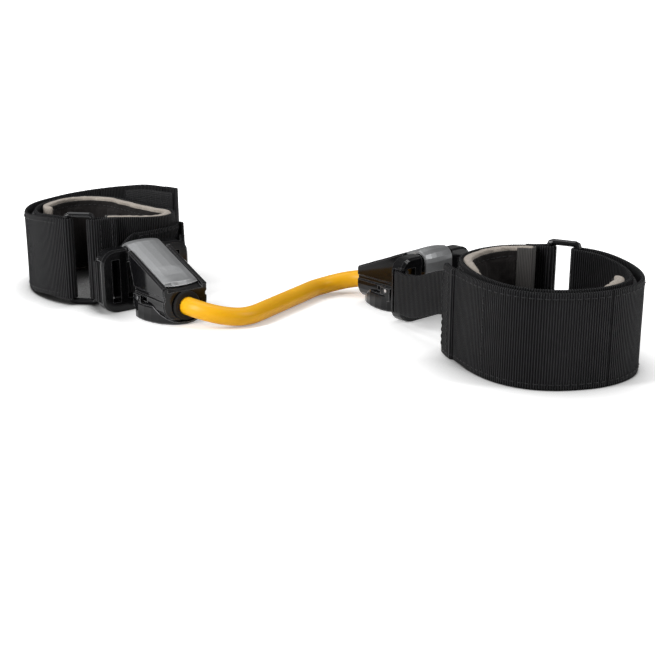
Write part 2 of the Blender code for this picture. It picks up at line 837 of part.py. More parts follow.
def anchor_ring():
    """Flat moulded ring: round neck for the clip, slotted ends for the webbing."""
    half = RING_LENGTH / 2
    r = RING_CORNER
    outline = []
    for cy, cz, first in ((half - r, RING_TOP - r, 0), (-half + r, RING_TOP - r, 90),
                          (-half + r, r, 180), (half - r, r, 270)):
        for k in range(6):
            angle = math.radians(first + 18 * k)
            outline.append((cy + r * math.cos(angle), cz + r * math.sin(angle)))
    middle_z = RING_TOP / 2
    rings = []
    deep = RING_DEPTH / 2
    for x, inset in ((-deep, 1.2), (-deep + 1.2, 0.0), (deep - 1.2, 0.0), (deep, 1.2)):
        ring = []
        for y, z in outline:
            ky = 1 - inset / half
            kz = 1 - inset / middle_z if z > middle_z else 1.0
            ring.append((x, y * ky, middle_z + (z - middle_z) * kz))
        rings.append(ring)
    body = loft("anchor_ring", rings)
    w = WINDOW_HALF
    combine(body, box("cut", (-9, -w, WINDOW_FLOOR), (9, w, RING_TOP + 5)), "DIFFERENCE")
    for hand in (-1, 1):
        lo, hi = sorted((hand * SLOT_START, hand * (half + 5)))
        combine(body, box("cut", (-9, lo, CLEAR_LOW), (LIP_BACK, hi, CLEAR_HIGH)), "DIFFERENCE")
        lo, hi = sorted((hand * SLOT_START, hand * SLOT_STOP))
        combine(body, box("cut", (0, lo, CLEAR_LOW), (9, hi, CLEAR_HIGH)), "DIFFERENCE")
    for hand in (-1, 1):
        y = hand * END_BAR_Y
        bar = rod("bar", (-END_BAR_BACK, y, CLEAR_LOW - 1.2), (-END_BAR_BACK, y, CLEAR_HIGH + 1.2),
                  END_BAR_RADIUS, 12)
        combine(body, bar, "UNION")
    neck = rod("neck", (0, -w - 1.0, NECK_HEIGHT), (0, w + 1.0, NECK_HEIGHT), NECK_RADIUS, 20)
    combine(body, neck, "UNION")
    return body


# Clip

def underside(x):
    """Height of the hook plate's underside, tangent to the saddle."""
    tx = SADDLE_RADIUS * math.sin(SLOPE)
    tz = NECK_HEIGHT + SADDLE_RADIUS * math.cos(SLOPE)
    return tz - (x - tx) * math.tan(SLOPE)


def hook_plate():
    """Saddle over the ring's neck and a sloping cover plate, crowned across."""
    foot = NECK_HEIGHT - 5.8
    outer = [(-SADDLE_OUT, foot, -1, 0), (-SADDLE_OUT, NECK_HEIGHT, -1, 0)]
    for degree in (160, 138, 115, 92):
        c = math.cos(math.radians(degree))
        s = math.sin(math.radians(degree))
        outer.append((SADDLE_OUT * c, NECK_HEIGHT + SADDLE_OUT * s, c, s))
    nx = math.sin(SLOPE)
    nz = math.cos(SLOPE)
    tx = SADDLE_OUT * nx
    tz = NECK_HEIGHT + SADDLE_OUT * nz
    scoop_x = PLATE_TIP - SCOOP_BACK
    for share in (0.0, 0.29, 0.57, 0.77, 0.89, 1.0):
        x = tx + (scoop_x - tx) * share
        outer.append((x, tz - (x - tx) * math.tan(SLOPE), nx, nz))
    for x in (scoop_x + SCOOP_REACH * 0.6, PLATE_TIP - 1.2):
        outer.append((x, tz - (x - tx) * math.tan(SLOPE), nx, nz))
    leg_out = SADDLE_RADIUS + LEG_THICK
    inner = [(PLATE_TIP, underside(PLATE_TIP) + 0.7), (PLATE_TIP - 0.5, underside(PLATE_TIP - 0.5)),
             (leg_out + 0.5, underside(leg_out + 0.5)), (leg_out, underside(leg_out) - 0.5),
             (leg_out, foot + 1.2), (leg_out - 0.8, foot + 0.2), (SADDLE_RADIUS + 0.8, foot + 0.2),
             (SADDLE_RADIUS, foot + 1.2)]
    for degree in (0, 30, 60, 90, 120, 150, 180):
        angle = math.radians(degree)
        inner.append((SADDLE_RADIUS * math.cos(angle),
                      NECK_HEIGHT + SADDLE_RADIUS * math.sin(angle)))
    inner += [(-SADDLE_RADIUS, foot), (-SADDLE_RADIUS - 0.7, foot - 1.0),
              (-SADDLE_OUT + 0.4, foot - 1.0)]
    rings = []
    for y, edge in ((-1.0, 0.5), (-0.95, 0.1), (-0.6, 0.0), (-0.25, 0.0), (0.25, 0.0),
                    (0.6, 0.0), (0.95, 0.1), (1.0, 0.5)):
        swell = PLATE_CROWN * (1 - y * y) - edge
        ring = []
        for x, z, ox, oz in outer:
            along = max(0.0, 1 - ((x - scoop_x) / SCOOP_REACH) ** 2)
            scoop = PLATE_SCOOP * along * max(0.0, 1 - (y / 0.8) ** 2)
            arch = PLATE_ARCH * y * y if x > PLATE_TIP - 2 else 0.0
            ring.append((x + ox * (swell - scoop) - arch, y * PLATE_HALF,
                         z + oz * (swell - scoop) + arch * math.tan(SLOPE)))
        for x, z in inner:
            arch = PLATE_ARCH * y * y if x > PLATE_TIP - 2 else 0.0
            ring.append((x - arch, y * PLATE_HALF, z + arch * math.tan(SLOPE)))
        rings.append(ring)
    return loft("hook_plate", rings)


def clip_housing():
    """Glossy body with a rounded belly, a seat for the plate and a mouth for the tube."""
    half = HOUSING_HALF
    flat = half - BELLY_RADIUS
    low = HOUSING_BOTTOM
    mid = low + BELLY_RADIUS
    inner_rail = PLATE_HALF + RAIL_GAP

    def half_section(x, shrink):
        rail = underside(x) + RAIL_RISE
        seat = underside(x) - SEAT_GAP
        pts = [(flat, low + shrink)]
        for k in (1, 2, 3, 4):
            angle = math.radians(18 * k)
            reach = BELLY_RADIUS - shrink
            pts.append((flat + reach * math.sin(angle), mid - reach * math.cos(angle)))
        w = half - shrink
        pts += [(w, mid), (w, mid + 2.4), (w - GROOVE_DEPTH, mid + 3.2),
                (w - GROOVE_DEPTH, mid + 5.0), (w, mid + 5.8), (w, rail - 0.9 - shrink),
                (w - 0.9, rail - shrink), (inner_rail + 0.6, rail - shrink),
                (inner_rail, rail - 0.5 - shrink), (inner_rail, seat - shrink / 2)]
        return pts

    def ring_at(x, shrink, slant):
        right = half_section(x, shrink)
        top = underside(x) + RAIL_RISE
        ring = []
        for y, z in right + [(-y, z) for y, z in reversed(right)]:
            at = x
            if slant:
                at = x + (top - z) * 0.3
                if z > mid + 6:
                    z = z - (at - x) * math.tan(SLOPE)
            ring.append((at, y, z))
        return ring

    rings = [ring_at(HOUSING_REAR, 0.0, True), ring_at(HOUSING_FRONT - 0.8, 0.0, False),
             ring_at(HOUSING_FRONT, 0.7, False)]
    body = loft("clip_housing", rings)
    flat_faces(body)
    s = SLOT_HALF
    combine(body, box("cut", (2, -s, -2), (SLOT_END, s, SLOT_TOP)), "DIFFERENCE")
    z = TUBE_AXIS_Z
    chamber = rod("cut", (CHAMBER_REAR, 0, z), (COLLAR_REAR + 2, 0, z), CHAMBER_RADIUS, 24)
    combine(body, chamber, "DIFFERENCE")
    bore = rod("cut", (COLLAR_REAR, 0, z), (HOUSING_FRONT + 5, 0, z), COLLAR_RADIUS + COLLAR_GAP, 24)
    combine(body, bore, "DIFFERENCE")
    reach = PIN_RADIUS + PIN_GAP
    for hand in (-1, 1):
        lo, hi = sorted((hand * (half - 3.0), hand * (half + 3.0)))
        cut = box("cut", (PIN_X - reach, lo, PIN_Z - reach),
                  (PIN_X + SLIDE_TRAVEL + reach, hi, PIN_Z + reach))
        combine(body, cut, "DIFFERENCE")
    return body


def belly_cutter(gap):
    """The housing's belly grown by a gap, as a long bar."""
    flat = HOUSING_HALF - BELLY_RADIUS
    mid = HOUSING_BOTTOM + BELLY_RADIUS
    reach = BELLY_RADIUS + gap
    pts = [(flat, mid - reach)]
    for k in (1, 2, 3, 4, 5):
        angle = math.radians(18 * k)
        pts.append((flat + reach * math.sin(angle), mid - reach * math.cos(angle)))
    pts.append((flat + reach, mid + 12))
    full = pts + [(-y, z) for y, z in reversed(pts)]
    return loft("cut", [[(x, y, z) for y, z in full] for x in (5.0, 70.0)])


def slide_outline():
    front = SLIDE_TIP - SLIDE_WIDEST
    pts = [(SLIDE_REAR, SLIDE_HALF - 2.6), (SLIDE_REAR + 3.0, SLIDE_HALF - 0.7)]
    for share in (0.0, 0.22, 0.44, 0.62, 0.77, 0.88, 0.96):
        pts.append((SLIDE_WIDEST + front * share, SLIDE_HALF * math.sqrt(1 - share * share)))
    pts.append((SLIDE_TIP, 0.0))
    return pts + [(x, -y) for x, y in reversed(pts[:-1])]


def release_slide():
    """Sole plate with flared wings, ears for the pins, and the tongue that shuts the hook."""
    outline = slide_outline()
    mid = SLIDE_WIDEST
    rings = []
    for z, scale in ((0.0, 0.96), (0.8, 1.0), (5.0, 1.0), (SLIDE_FLARE_TOP - 1.0, 0.985),
                     (SLIDE_FLARE_TOP, 0.965)):
        rings.append([(mid + (x - mid) * (scale if x > mid else 1.0), y * scale, z)
                      for x, y in outline])
    body = loft("release_slide", rings)
    combine(body, belly_cutter(SLIDE_GAP), "DIFFERENCE")
    ear_in = HOUSING_HALF + SLIDE_GAP
    for hand in (-1, 1):
        lo, hi = sorted((hand * ear_in, hand * EAR_OUT))
        combine(body, box("ear", (PIN_X - 4, lo, 6.5), (PIN_X + 4, hi, EAR_TOP)), "UNION")
        hole = rod("cut", (PIN_X, hand * (ear_in - 2), PIN_Z), (PIN_X, hand * (EAR_OUT + 3), PIN_Z),
                   PIN_RADIUS + PIN_GAP, 12)
        combine(body, hole, "DIFFERENCE")
    half = SLOT_HALF - 0.5
    thick = HOUSING_BOTTOM - SLIDE_GAP
    combine(body, box("foot", (RISER_REAR, -half, 0), (RISER_REAR + 8, half, thick)), "UNION")
    front = RISER_REAR + RISER_THICK
    combine(body, box("riser", (RISER_REAR, -half, thick / 2), (front, half, TONGUE_TOP)), "UNION")
    tongue = box("tongue", (TONGUE_TIP, -TONGUE_HALF, TONGUE_TOP - TONGUE_THICK),
                 (front - 1, TONGUE_HALF, TONGUE_TOP))
    combine(body, tongue, "UNION")
    return body


def guide_pin(hand):
    """A short pin that links a wing's ear to the housing's side slot."""
    inner = (PIN_X, hand * (HOUSING_HALF - 2.7), PIN_Z)
    outer = (PIN_X, hand * (EAR_OUT - 0.3), PIN_Z)
    return rod("guide_pin", inner, outer, PIN_RADIUS, 12)


def slide_spring():
    """A small open coil between the riser and the end of the housing's slot."""
    start = RISER_REAR + RISER_THICK + 0.1 + SPRING_WIRE / 2
    stop = SLOT_END - 0.1 - SPRING_WIRE / 2
    per_turn = 9
    total = SPRING_TURNS * per_turn
    middles = []
    for k in range(total + 1):
        angle = 2 * math.pi * k / per_turn
        middles.append(Vector((start + (stop - start) * k / total,
                               SPRING_RADIUS * math.cos(angle),
                               SPRING_Z + SPRING_RADIUS * math.sin(angle))))
    least = min((middles[k + per_turn] - middles[j]).length for k in range(total + 1 - per_turn)
                for j in range(k, k + 2))
    print("spring gap between turns mm", round(least - SPRING_WIRE, 2))
    rings = []
    for k, middle in enumerate(middles):
        ahead = middles[min(total, k + 1)] - middles[max(0, k - 1)]
        ahead.normalize()
        angle = 2 * math.pi * k / per_turn
        out = Vector((0, math.cos(angle), math.sin(angle)))
        over = ahead.cross(out).normalized()
        ring = []
        for j in range(6):
            turn = 2 * math.pi * j / 6
            ring.append(middle + (out * math.cos(turn) + over * math.sin(turn)) * SPRING_WIRE / 2)
        rings.append(ring)
    return loft("slide_spring", rings)


def turned_ring(name, profile, sides, axis_z):
    """A body of revolution about a line along X. Profile is a closed list of x and radius."""
    rings = []
    for k in range(sides):
        angle = 2 * math.pi * k / sides
        rings.append([(x, r * math.cos(angle), axis_z + r * math.sin(angle)) for x, r in profile])
    return closed_loft(name, rings)


def tube_collar():
    bore = TUBE_RADIUS + TUBE_GAP
    face = HOUSING_FRONT + LAYER_GAP
    profile = [(COLLAR_REAR + 0.3, bore), (COLLAR_REAR + 0.3, COLLAR_RADIUS),
               (face, COLLAR_RADIUS), (face, COLLAR_LIP_RADIUS),
               (face + COLLAR_LIP_THICK - 0.6, COLLAR_LIP_RADIUS),
               (face + COLLAR_LIP_THICK, COLLAR_LIP_RADIUS - 0.6),
               (face + COLLAR_LIP_THICK, bore)]
    return turned_ring("tube_collar", profile, 24, TUBE_AXIS_Z)


def tube_plug():
    rear = TUBE_END - LAYER_GAP - PLUG_LENGTH
    z = TUBE_AXIS_Z
    rings = []
    for x, radius in ((rear, PLUG_RADIUS - 0.8), (rear + 0.8, PLUG_RADIUS),
                      (TUBE_END - LAYER_GAP - 0.8, PLUG_RADIUS),
                      (TUBE_END - LAYER_GAP, PLUG_RADIUS - 0.8)):
        rings.append([(x, radius * math.cos(2 * math.pi * k / 20),
                       z + radius * math.sin(2 * math.pi * k / 20)) for k in range(20)])
    return loft("tube_plug", rings)


# Tube

def tube_points():
    """The tube's centre line from plug to plug, as even steps on one smooth curve."""
    left = plan_place(SIDES["left"])
    right = plan_place(SIDES["right"])
    stops = (TUBE_END, TUBE_END + 5.0, TUBE_END + 10.5)
    route = [left @ Vector((x, 0, TUBE_AXIS_Z)) for x in stops]
    route += [Vector(p) for p in TUBE_ROUTE]
    route += [right @ Vector((x, 0, TUBE_AXIS_Z)) for x in reversed(stops)]
    dense = catmull(route, False, 24)
    points, length = evenly(dense, 32, False)
    return points, length


def resistance_tube():
    points, length = tube_points()
    print("tube length mm", round(length, 1))
    curve = bpy.data.curves.new("resistance_tube", "CURVE")
    curve.dimensions = "3D"
    curve.bevel_depth = TUBE_RADIUS * MM
    curve.bevel_resolution = 4
    curve.use_fill_caps = True
    line = curve.splines.new("POLY")
    line.points.add(len(points) - 1)
    place = world_place()
    for spot, point in zip(line.points, points):
        spot.co = (*(place @ point), 1.0)
    line.use_smooth = True
    made = bpy.data.objects.new("resistance_tube", curve)
    bpy.context.scene.collection.objects.link(made)
    curve.materials.append(material("tube"))
    return made


# Placing

def world_place():
    shift = Matrix.Translation((-LAYOUT_ORIGIN[0], -LAYOUT_ORIGIN[1], 0))
    return Matrix.Scale(MM, 4) @ shift


def plan_place(side):
    """From a clip's own frame to the plan."""
    x, y = side["anchor"]
    return Matrix.Translation((x, y, 0)) @ Matrix.Rotation(math.radians(side["heading"]), 4, "Z")


def build_cuff(word, side):
    girth = Girth(side["girth"])
    split = girth.nearest(side["split"])
    end = girth.nearest(side["tail_end"])
    stop = girth.nearest(side["pad_end"])
    print(word, "girth", round(girth.length, 1), "split", round(split, 1), "tail end", round(end, 1),
          "pad end", round(stop, 1))
    plan = world_place()
    ring_place = plan @ plan_place(side)
    pivot = (*side["anchor"], NECK_HEIGHT)
    line = girth.at(split, TAIL_FACE)
    hinge = (line.x, line.y, WEBBING_WIDTH / 2)
    pile_stop = girth.length - PILE_END
    settle(pad_foam(side, girth, stop), "pad_foam_" + word, "foam", plan, pivot)
    settle(pad_lining(side, girth, stop), "pad_lining_" + word, "lining", plan, pivot)
    settle(pad_binding(girth), "pad_binding_" + word, "binding", plan, pivot)
    settle(strap(side, girth, split), "strap_" + word, "webbing", plan, pivot)
    settle(pile_patch(girth, side["root_b"] + 16.0, pile_stop), "pile_patch_" + word, "pile",
           plan, pivot)
    settle(slide_loop(girth), "slide_loop_" + word, "moulding", plan, pivot)
    settle(anchor_webbing(side, girth), "anchor_webbing_" + word, "webbing", plan, pivot)
    settle(anchor_ring(), "anchor_ring_" + word, "moulding", ring_place, (0, 0, NECK_HEIGHT))
    settle(strap_tail(side, girth, split, end), "strap_tail_" + word, "webbing", plan, hinge)
    settle(hook_patch(side, girth, end), "hook_patch_" + word, "hook", plan, hinge)


def build_clip(word, side):
    place = world_place() @ plan_place(side)
    mouth = (HOUSING_FRONT, 0, TUBE_AXIS_Z)
    settle(clip_housing(), "clip_housing_" + word, "gloss", place, mouth)
    settle(hook_plate(), "hook_plate_" + word, "silver", place, mouth)
    settle(tube_collar(), "tube_collar_" + word, "rubber", place, mouth)
    settle(release_slide(), "release_slide_" + word, "gloss", place, (PIN_X, 0, PIN_Z))
    for letter, hand in (("a", -1), ("b", 1)):
        settle(guide_pin(hand), "guide_pin_" + word + "_" + letter, "steel", place, (PIN_X, 0, PIN_Z))
    settle(slide_spring(), "slide_spring_" + word, "steel", place, (SLOT_END, 0, SPRING_Z))
    settle(tube_plug(), "tube_plug_" + word, "rubber", place, mouth)


def main():
    clear_scene()
    resistance_tube()
    for word, side in SIDES.items():
        build_cuff(word, side)
        build_clip(word, side)
    bpy.context.view_layer.update()


main()
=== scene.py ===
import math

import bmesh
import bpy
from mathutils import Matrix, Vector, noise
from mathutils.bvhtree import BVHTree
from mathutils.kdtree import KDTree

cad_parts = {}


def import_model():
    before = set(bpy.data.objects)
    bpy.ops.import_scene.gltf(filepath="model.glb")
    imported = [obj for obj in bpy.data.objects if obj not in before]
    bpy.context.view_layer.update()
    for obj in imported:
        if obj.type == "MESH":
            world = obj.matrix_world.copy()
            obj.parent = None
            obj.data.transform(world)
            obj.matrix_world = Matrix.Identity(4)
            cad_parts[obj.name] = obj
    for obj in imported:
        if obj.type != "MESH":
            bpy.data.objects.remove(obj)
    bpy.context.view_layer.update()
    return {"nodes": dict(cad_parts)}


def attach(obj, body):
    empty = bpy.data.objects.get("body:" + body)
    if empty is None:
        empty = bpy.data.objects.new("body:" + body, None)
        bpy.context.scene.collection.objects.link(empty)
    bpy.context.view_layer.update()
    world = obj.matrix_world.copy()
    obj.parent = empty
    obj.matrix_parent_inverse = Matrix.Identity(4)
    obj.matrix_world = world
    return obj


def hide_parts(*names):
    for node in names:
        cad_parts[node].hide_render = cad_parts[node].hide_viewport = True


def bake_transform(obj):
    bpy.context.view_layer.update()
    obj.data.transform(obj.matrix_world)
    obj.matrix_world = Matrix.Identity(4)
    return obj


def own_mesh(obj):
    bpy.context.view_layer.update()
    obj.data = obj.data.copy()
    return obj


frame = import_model()

# %% [markdown]
# # Dressing a lateral resistance trainer
# The real thing is two padded ankle cuffs joined by a stretch tube. A spring clip holds each end of
# the tube and hooks over a flat moulded ring, and webbing ties that ring to its cuff.
# The frame already holds every hard part at its true size, so those keep their shape here and only
# get a finish. Cloth, webbing, pads, stitching and the tube are built anew around them, because woven
# and padded things need far finer meshes than a solid model holds.

MM = 0.001
NODES = frame["nodes"]
WORDS = ("left", "right")
print("solids in the frame:", len(NODES))

# %% [markdown]
# ## Camera
# A product picture like this one is taken from about table height with a short telephoto lens, which
# keeps the near and far cuffs at nearly the same size. The camera stands two thirds of a metre away,
# looks level along Y and is tipped down, and a 66 mm lens frames the whole trainer.

# %% Camera
CAMERA_PLACE = (0.01673, -0.68754, 0.206)
CAMERA_TIP = 17.2
CAMERA_LENS = 65.95

lens = bpy.data.cameras.new("camera")
lens.sensor_width = 36.0
lens.lens = CAMERA_LENS
camera = bpy.data.objects.new("camera", lens)
camera.location = CAMERA_PLACE
camera.rotation_euler = (math.radians(90.0 - CAMERA_TIP), 0.0, 0.0)
bpy.context.scene.collection.objects.link(camera)
bpy.context.scene.camera = camera
print("camera", CAMERA_PLACE, "tipped", CAMERA_TIP, "degrees")

# %% [markdown]
# ## Lines on the floor
# Everything in a cuff follows one closed line seen from above, the girth, and the tube follows an open
# one. Both are drawn as a few listed points and a smooth curve through them. Working in plan
# millimetres keeps the numbers easy to read, and one matrix turns them into metres.

# %% Places in the plan, in millimetres
LAYOUT_ORIGIN = (-16.73, 687.54)
CUFFS = {
    "left": {
        "anchor": (-113.0, 713.0),
        "heading": -52.0,
        "girth": [
            (-150.0, 721.0), (-139.0, 722.5), (-128.0, 726.0), (-117.0, 733.0), (-108.0, 742.0),
            (-102.5, 751.0), (-104.0, 759.5), (-113.0, 767.0), (-124.0, 777.0), (-136.0, 790.0),
            (-147.0, 800.5), (-159.0, 805.0), (-171.0, 802.5), (-180.0, 793.0), (-185.0, 779.0),
            (-184.5, 763.0), (-179.5, 748.0), (-171.0, 735.5), (-161.0, 726.0),
        ],
        "pad_end": (-185.0, 768.0),
        "split": (-147.0, 800.0),
        "tail_end": (-110.5, 765.0),
        "roots": (30.0, 63.0),
        "stand": (8.0, 60.0),
        "rise": (10.5, 168.0, 70.0),
        "pad_curl": 5.0,
        "pad_drop": 0.0,
    },
    "right": {
        "anchor": (62.0, 694.5),
        "heading": 131.5,
        "girth": [
            (126.5, 636.0), (117.0, 640.5), (108.0, 645.0), (98.0, 648.5), (88.0, 647.5),
            (80.0, 641.5), (76.0, 632.0), (76.5, 618.0), (79.5, 604.0), (85.5, 589.0),
            (93.5, 578.0), (103.0, 572.0), (113.0, 570.0), (123.5, 571.3), (133.5, 574.5),
            (143.0, 581.0), (150.0, 590.0), (152.0, 600.5), (149.5, 611.5), (143.5, 622.0),
            (136.0, 629.8),
        ],
        "pad_end": (151.3, 594.5),
        "split": (123.5, 571.3),
        "tail_end": (76.3, 622.0),
        "roots": (30.0, 65.0),
        "stand": (2.0, 24.0),
        "rise": (0.0, 168.0, 70.0),
        "pad_curl": 3.0,
        "pad_drop": 4.0,
    },
}
TO_WORLD = Matrix.Scale(MM, 4) @ Matrix.Translation((-LAYOUT_ORIGIN[0], -LAYOUT_ORIGIN[1], 0))


def world(x, y, z):
    """A plan place in millimetres as a point in metres."""
    return TO_WORLD @ Vector((x, y, z))


def clip_place(word):
    """From a clip's own frame, whose X runs out along the tube, to the plan."""
    x, y = CUFFS[word]["anchor"]
    turn = Matrix.Rotation(math.radians(CUFFS[word]["heading"]), 4, "Z")
    return Matrix.Translation((x, y, 0)) @ turn


print("one millimetre in the frame:", MM)

# %% Smooth lines through listed points
def smooth_step(value):
    value = min(1.0, max(0.0, value))
    return value * value * (3 - 2 * value)


def smooth_line(points, closed, per_span=24):
    """Catmull-Rom curve through points."""
    points = [Vector(p) for p in points]
    total = len(points)
    spans = total if closed else total - 1
    out = []
    for k in range(spans):
        if closed:
            p0, p1, p2, p3 = [points[(k + d) % total] for d in (-1, 0, 1, 2)]
        else:
            p1 = points[k]
            p2 = points[k + 1]
            p0 = points[k - 1] if k > 0 else 2 * p1 - p2
            p3 = points[k + 2] if k + 2 < total else 2 * p2 - p1
        for j in range(per_span):
            t = j / per_span
            out.append(0.5 * (2 * p1 + (p2 - p0) * t + (2 * p0 - 5 * p1 + 4 * p2 - p3) * t * t
                              + (3 * p1 - p0 - 3 * p2 + p3) * t ** 3))
    if not closed:
        out.append(points[-1].copy())
    return out


def even_steps(track, count):
    """An open line as count equal steps, and its length. Points may hold more than a place."""
    marks = [0.0]
    for a, b in zip(track, track[1:]):
        marks.append(marks[-1] + (b - a).length)
    out = []
    seek = 0
    for k in range(count + 1):
        want = marks[-1] * k / count
        while seek < len(marks) - 2 and marks[seek + 1] < want:
            seek += 1
        share = (want - marks[seek]) / max(1e-9, marks[seek + 1] - marks[seek])
        out.append(track[seek].lerp(track[seek + 1], min(1.0, share)))
    return out, marks[-1]


def track_length(track):
    return even_steps(track, 1)[1]


print("line tools ready")

# %% [markdown]
# Each layer of a cuff runs beside its girth at its own distance. So the girth is a small class that
# answers in two numbers: how far along the line, and how far out from it. The outward direction is taken
# over a short reach, which keeps the small kinks of a line through listed points out of the layers.

# %% The girth of a cuff
GIRTH_STEP = 0.5
DIRECTION_REACH = 2.25


class Girth:
    """The closed line of one cuff. A place on it is a distance s from the slide loop."""

    def __init__(self, points):
        dense = smooth_line(points, True)
        track = dense + [dense[0]]
        self.count = round(track_length(track) / GIRTH_STEP)
        steps, self.length = even_steps(track, self.count)
        self.points = steps[:-1]
        self.step = self.length / self.count
        self.sides = []
        self.finder = KDTree(self.count)
        reach = round(DIRECTION_REACH / self.step)
        for k, spot in enumerate(self.points):
            run = self.points[(k + reach) % self.count] - self.points[k - reach]
            run.normalize()
            self.sides.append(Vector((run.y, -run.x)))
            self.finder.insert((spot.x, spot.y, 0.0), k)
        self.finder.balance()

    def at(self, s, offset=0.0):
        """The plan place at a distance along the line, and out from it."""
        place = (s % self.length) / self.step
        low = int(place) % self.count
        share = place - int(place)
        high = (low + 1) % self.count
        a = self.points[low] + self.sides[low] * offset
        b = self.points[high] + self.sides[high] * offset
        return a.lerp(b, share)

    def side(self, s):
        return (self.at(s, 1.0) - self.at(s, 0.0)).normalized()

    def stations(self, start, stop, step=0.6):
        count = max(2, round(abs(stop - start) / step))
        return [start + (stop - start) * k / count for k in range(count + 1)]

    def nearest(self, point):
        """The distance along the line that lies closest to a plan place."""
        return self.finder.find((point[0], point[1], 0.0))[1] * self.step


for word in WORDS:
    cuff = CUFFS[word]
    cuff["line"] = Girth(cuff["girth"])
    for mark in ("split", "tail_end", "pad_end"):
        cuff[mark] = cuff["line"].nearest(cuff[mark])
    print(word, "girth", round(cuff["line"].length, 1), "mm")

# %% [markdown]
# ## Node groups
# Several finishes share the same effects: the ribs of woven tape, a fine grain, painted edge highlights and
# dust.
# Each effect could be rebuilt in every material, but a node group is made once and placed where it is
# needed, with its own values. The groups here put out only masks and heights. The shader stays in the
# material, so its gloss and sheen can be read there.

# %% Small helpers for node trees
def add(tree, kind, **values):
    """One node. Plain names set its properties, and a dictionary named ins sets its sockets."""
    made = tree.nodes.new(kind)
    for socket, value in values.pop("ins", {}).items():
        made.inputs[socket].default_value = value
    for name, value in values.items():
        setattr(made, name, value)
    return made


def join(tree, source, target):
    tree.links.new(source, target)


def feed(tree, socket, value):
    """Give a socket a plain number or a link."""
    if isinstance(value, (int, float)):
        socket.default_value = value
    else:
        join(tree, value, socket)


def sums(tree, operation, *values):
    """A Math node fed by sockets or plain numbers."""
    made = add(tree, "ShaderNodeMath", operation=operation)
    for socket, value in zip(made.inputs, values):
        feed(tree, socket, value)
    return made.outputs[0]


def texture(tree, kind, **values):
    """A texture laid over the piece by the piece's own coordinates."""
    made = add(tree, "ShaderNodeTex" + kind)
    join(tree, add(tree, "ShaderNodeTexCoord").outputs["Object"], made.inputs["Vector"])
    for label, value in values.items():
        feed(tree, made.inputs[label], value)
    return made.outputs


def effect(name, ins, outs):
    """An empty node group with named inputs and outputs."""
    tree = bpy.data.node_groups.new(name, "ShaderNodeTree")
    for label, value in ins.items():
        socket = tree.interface.new_socket(label, in_out="INPUT", socket_type="NodeSocketFloat")
        socket.default_value = value
    for label in outs:
        tree.interface.new_socket(label, in_out="OUTPUT", socket_type="NodeSocketFloat")
    return tree, add(tree, "NodeGroupInput").outputs, add(tree, "NodeGroupOutput").inputs


print("node tools ready")

# %% [markdown]
# ### Ribbed weave
# Belt webbing of this kind has thick weft ribs that run across it, each wrapped by fine warp yarns.
# The builder of a strip writes two lengths on every point, along and across the tape, in millimetres.
# One cosine along the tape makes the ribs, and a finer one across it, shifted by half a yarn on every
# other rib, makes the yarns.

# %% Ribbed weave group
def ribbed_weave():
    tree, given, wanted = effect("ribbed weave", {"Rib Pitch": 1.3, "Yarn Pitch": 0.5},
                                 ["Height", "Groove"])
    along = add(tree, "ShaderNodeAttribute", attribute_name="along").outputs["Fac"]
    across = add(tree, "ShaderNodeAttribute", attribute_name="across").outputs["Fac"]
    turns = sums(tree, "DIVIDE", along, given["Rib Pitch"])
    rib = sums(tree, "COSINE", sums(tree, "MULTIPLY", turns, 2 * math.pi))
    rib = sums(tree, "MULTIPLY_ADD", rib, 0.5, 0.5)
    odd = sums(tree, "MULTIPLY", sums(tree, "FLOOR", sums(tree, "ADD", turns, 0.5)), math.pi)
    yarn = sums(tree, "MULTIPLY", sums(tree, "DIVIDE", across, given["Yarn Pitch"]), 2 * math.pi)
    yarn = sums(tree, "COSINE", sums(tree, "ADD", yarn, odd))
    yarn = sums(tree, "MULTIPLY_ADD", yarn, 0.5, 0.5)
    join(tree, sums(tree, "MULTIPLY_ADD", sums(tree, "MULTIPLY", rib, yarn), 0.5, rib), wanted["Height"])
    # Groove is 1 between the ribs, where the finishes paint a darker colour as painted shade.
    join(tree, sums(tree, "SUBTRACT", 1.0, rib), wanted["Groove"])
    return tree


WEAVE = ribbed_weave()
print("made group", WEAVE.name)

# %% [markdown]
# ### Grain, painted edge highlights and dust
# Moulded plastic is never quite even, its corners catch a line of light, and a little dust settles
# on what faces up. Noise gives the grain. The edge highlight is painted: the Bevel node's rounded normal
# is compared with the true one, they differ only near a corner, and there a lighter colour is painted in.
# Dust is noise, held back where a face leans over.

# %% Grain, edge and dust groups
def grain():
    tree, given, wanted = effect("grain", {"Scale": 400.0, "Detail": 3.0}, ["Amount"])
    cloud = texture(tree, "Noise", Scale=given["Scale"], Detail=given["Detail"])["Fac"]
    join(tree, cloud, wanted["Amount"])
    return tree


# Painted highlight: a mask near corners, where the finishes paint a lighter colour for the line of light an
# edge catches.
def painted_edge_highlight():
    tree, given, wanted = effect("painted edge highlight", {"Radius": 0.0006, "Strength": 4.0}, ["Mask"])
    round_face = add(tree, "ShaderNodeBevel", samples=4)
    join(tree, given["Radius"], round_face.inputs["Radius"])
    flat = add(tree, "ShaderNodeNewGeometry").outputs["Normal"]
    match = add(tree, "ShaderNodeVectorMath", operation="DOT_PRODUCT")
    join(tree, round_face.outputs["Normal"], match.inputs[0])
    join(tree, flat, match.inputs[1])
    bend = sums(tree, "MULTIPLY", sums(tree, "SUBTRACT", 1.0, match.outputs["Value"]), given["Strength"])
    cloud = texture(tree, "Noise", Scale=900.0, Detail=2.0)["Fac"]
    edge_highlight = sums(tree, "MULTIPLY", bend, cloud)
    join(tree, sums(tree, "MINIMUM", edge_highlight, 1.0), wanted["Mask"])
    return tree


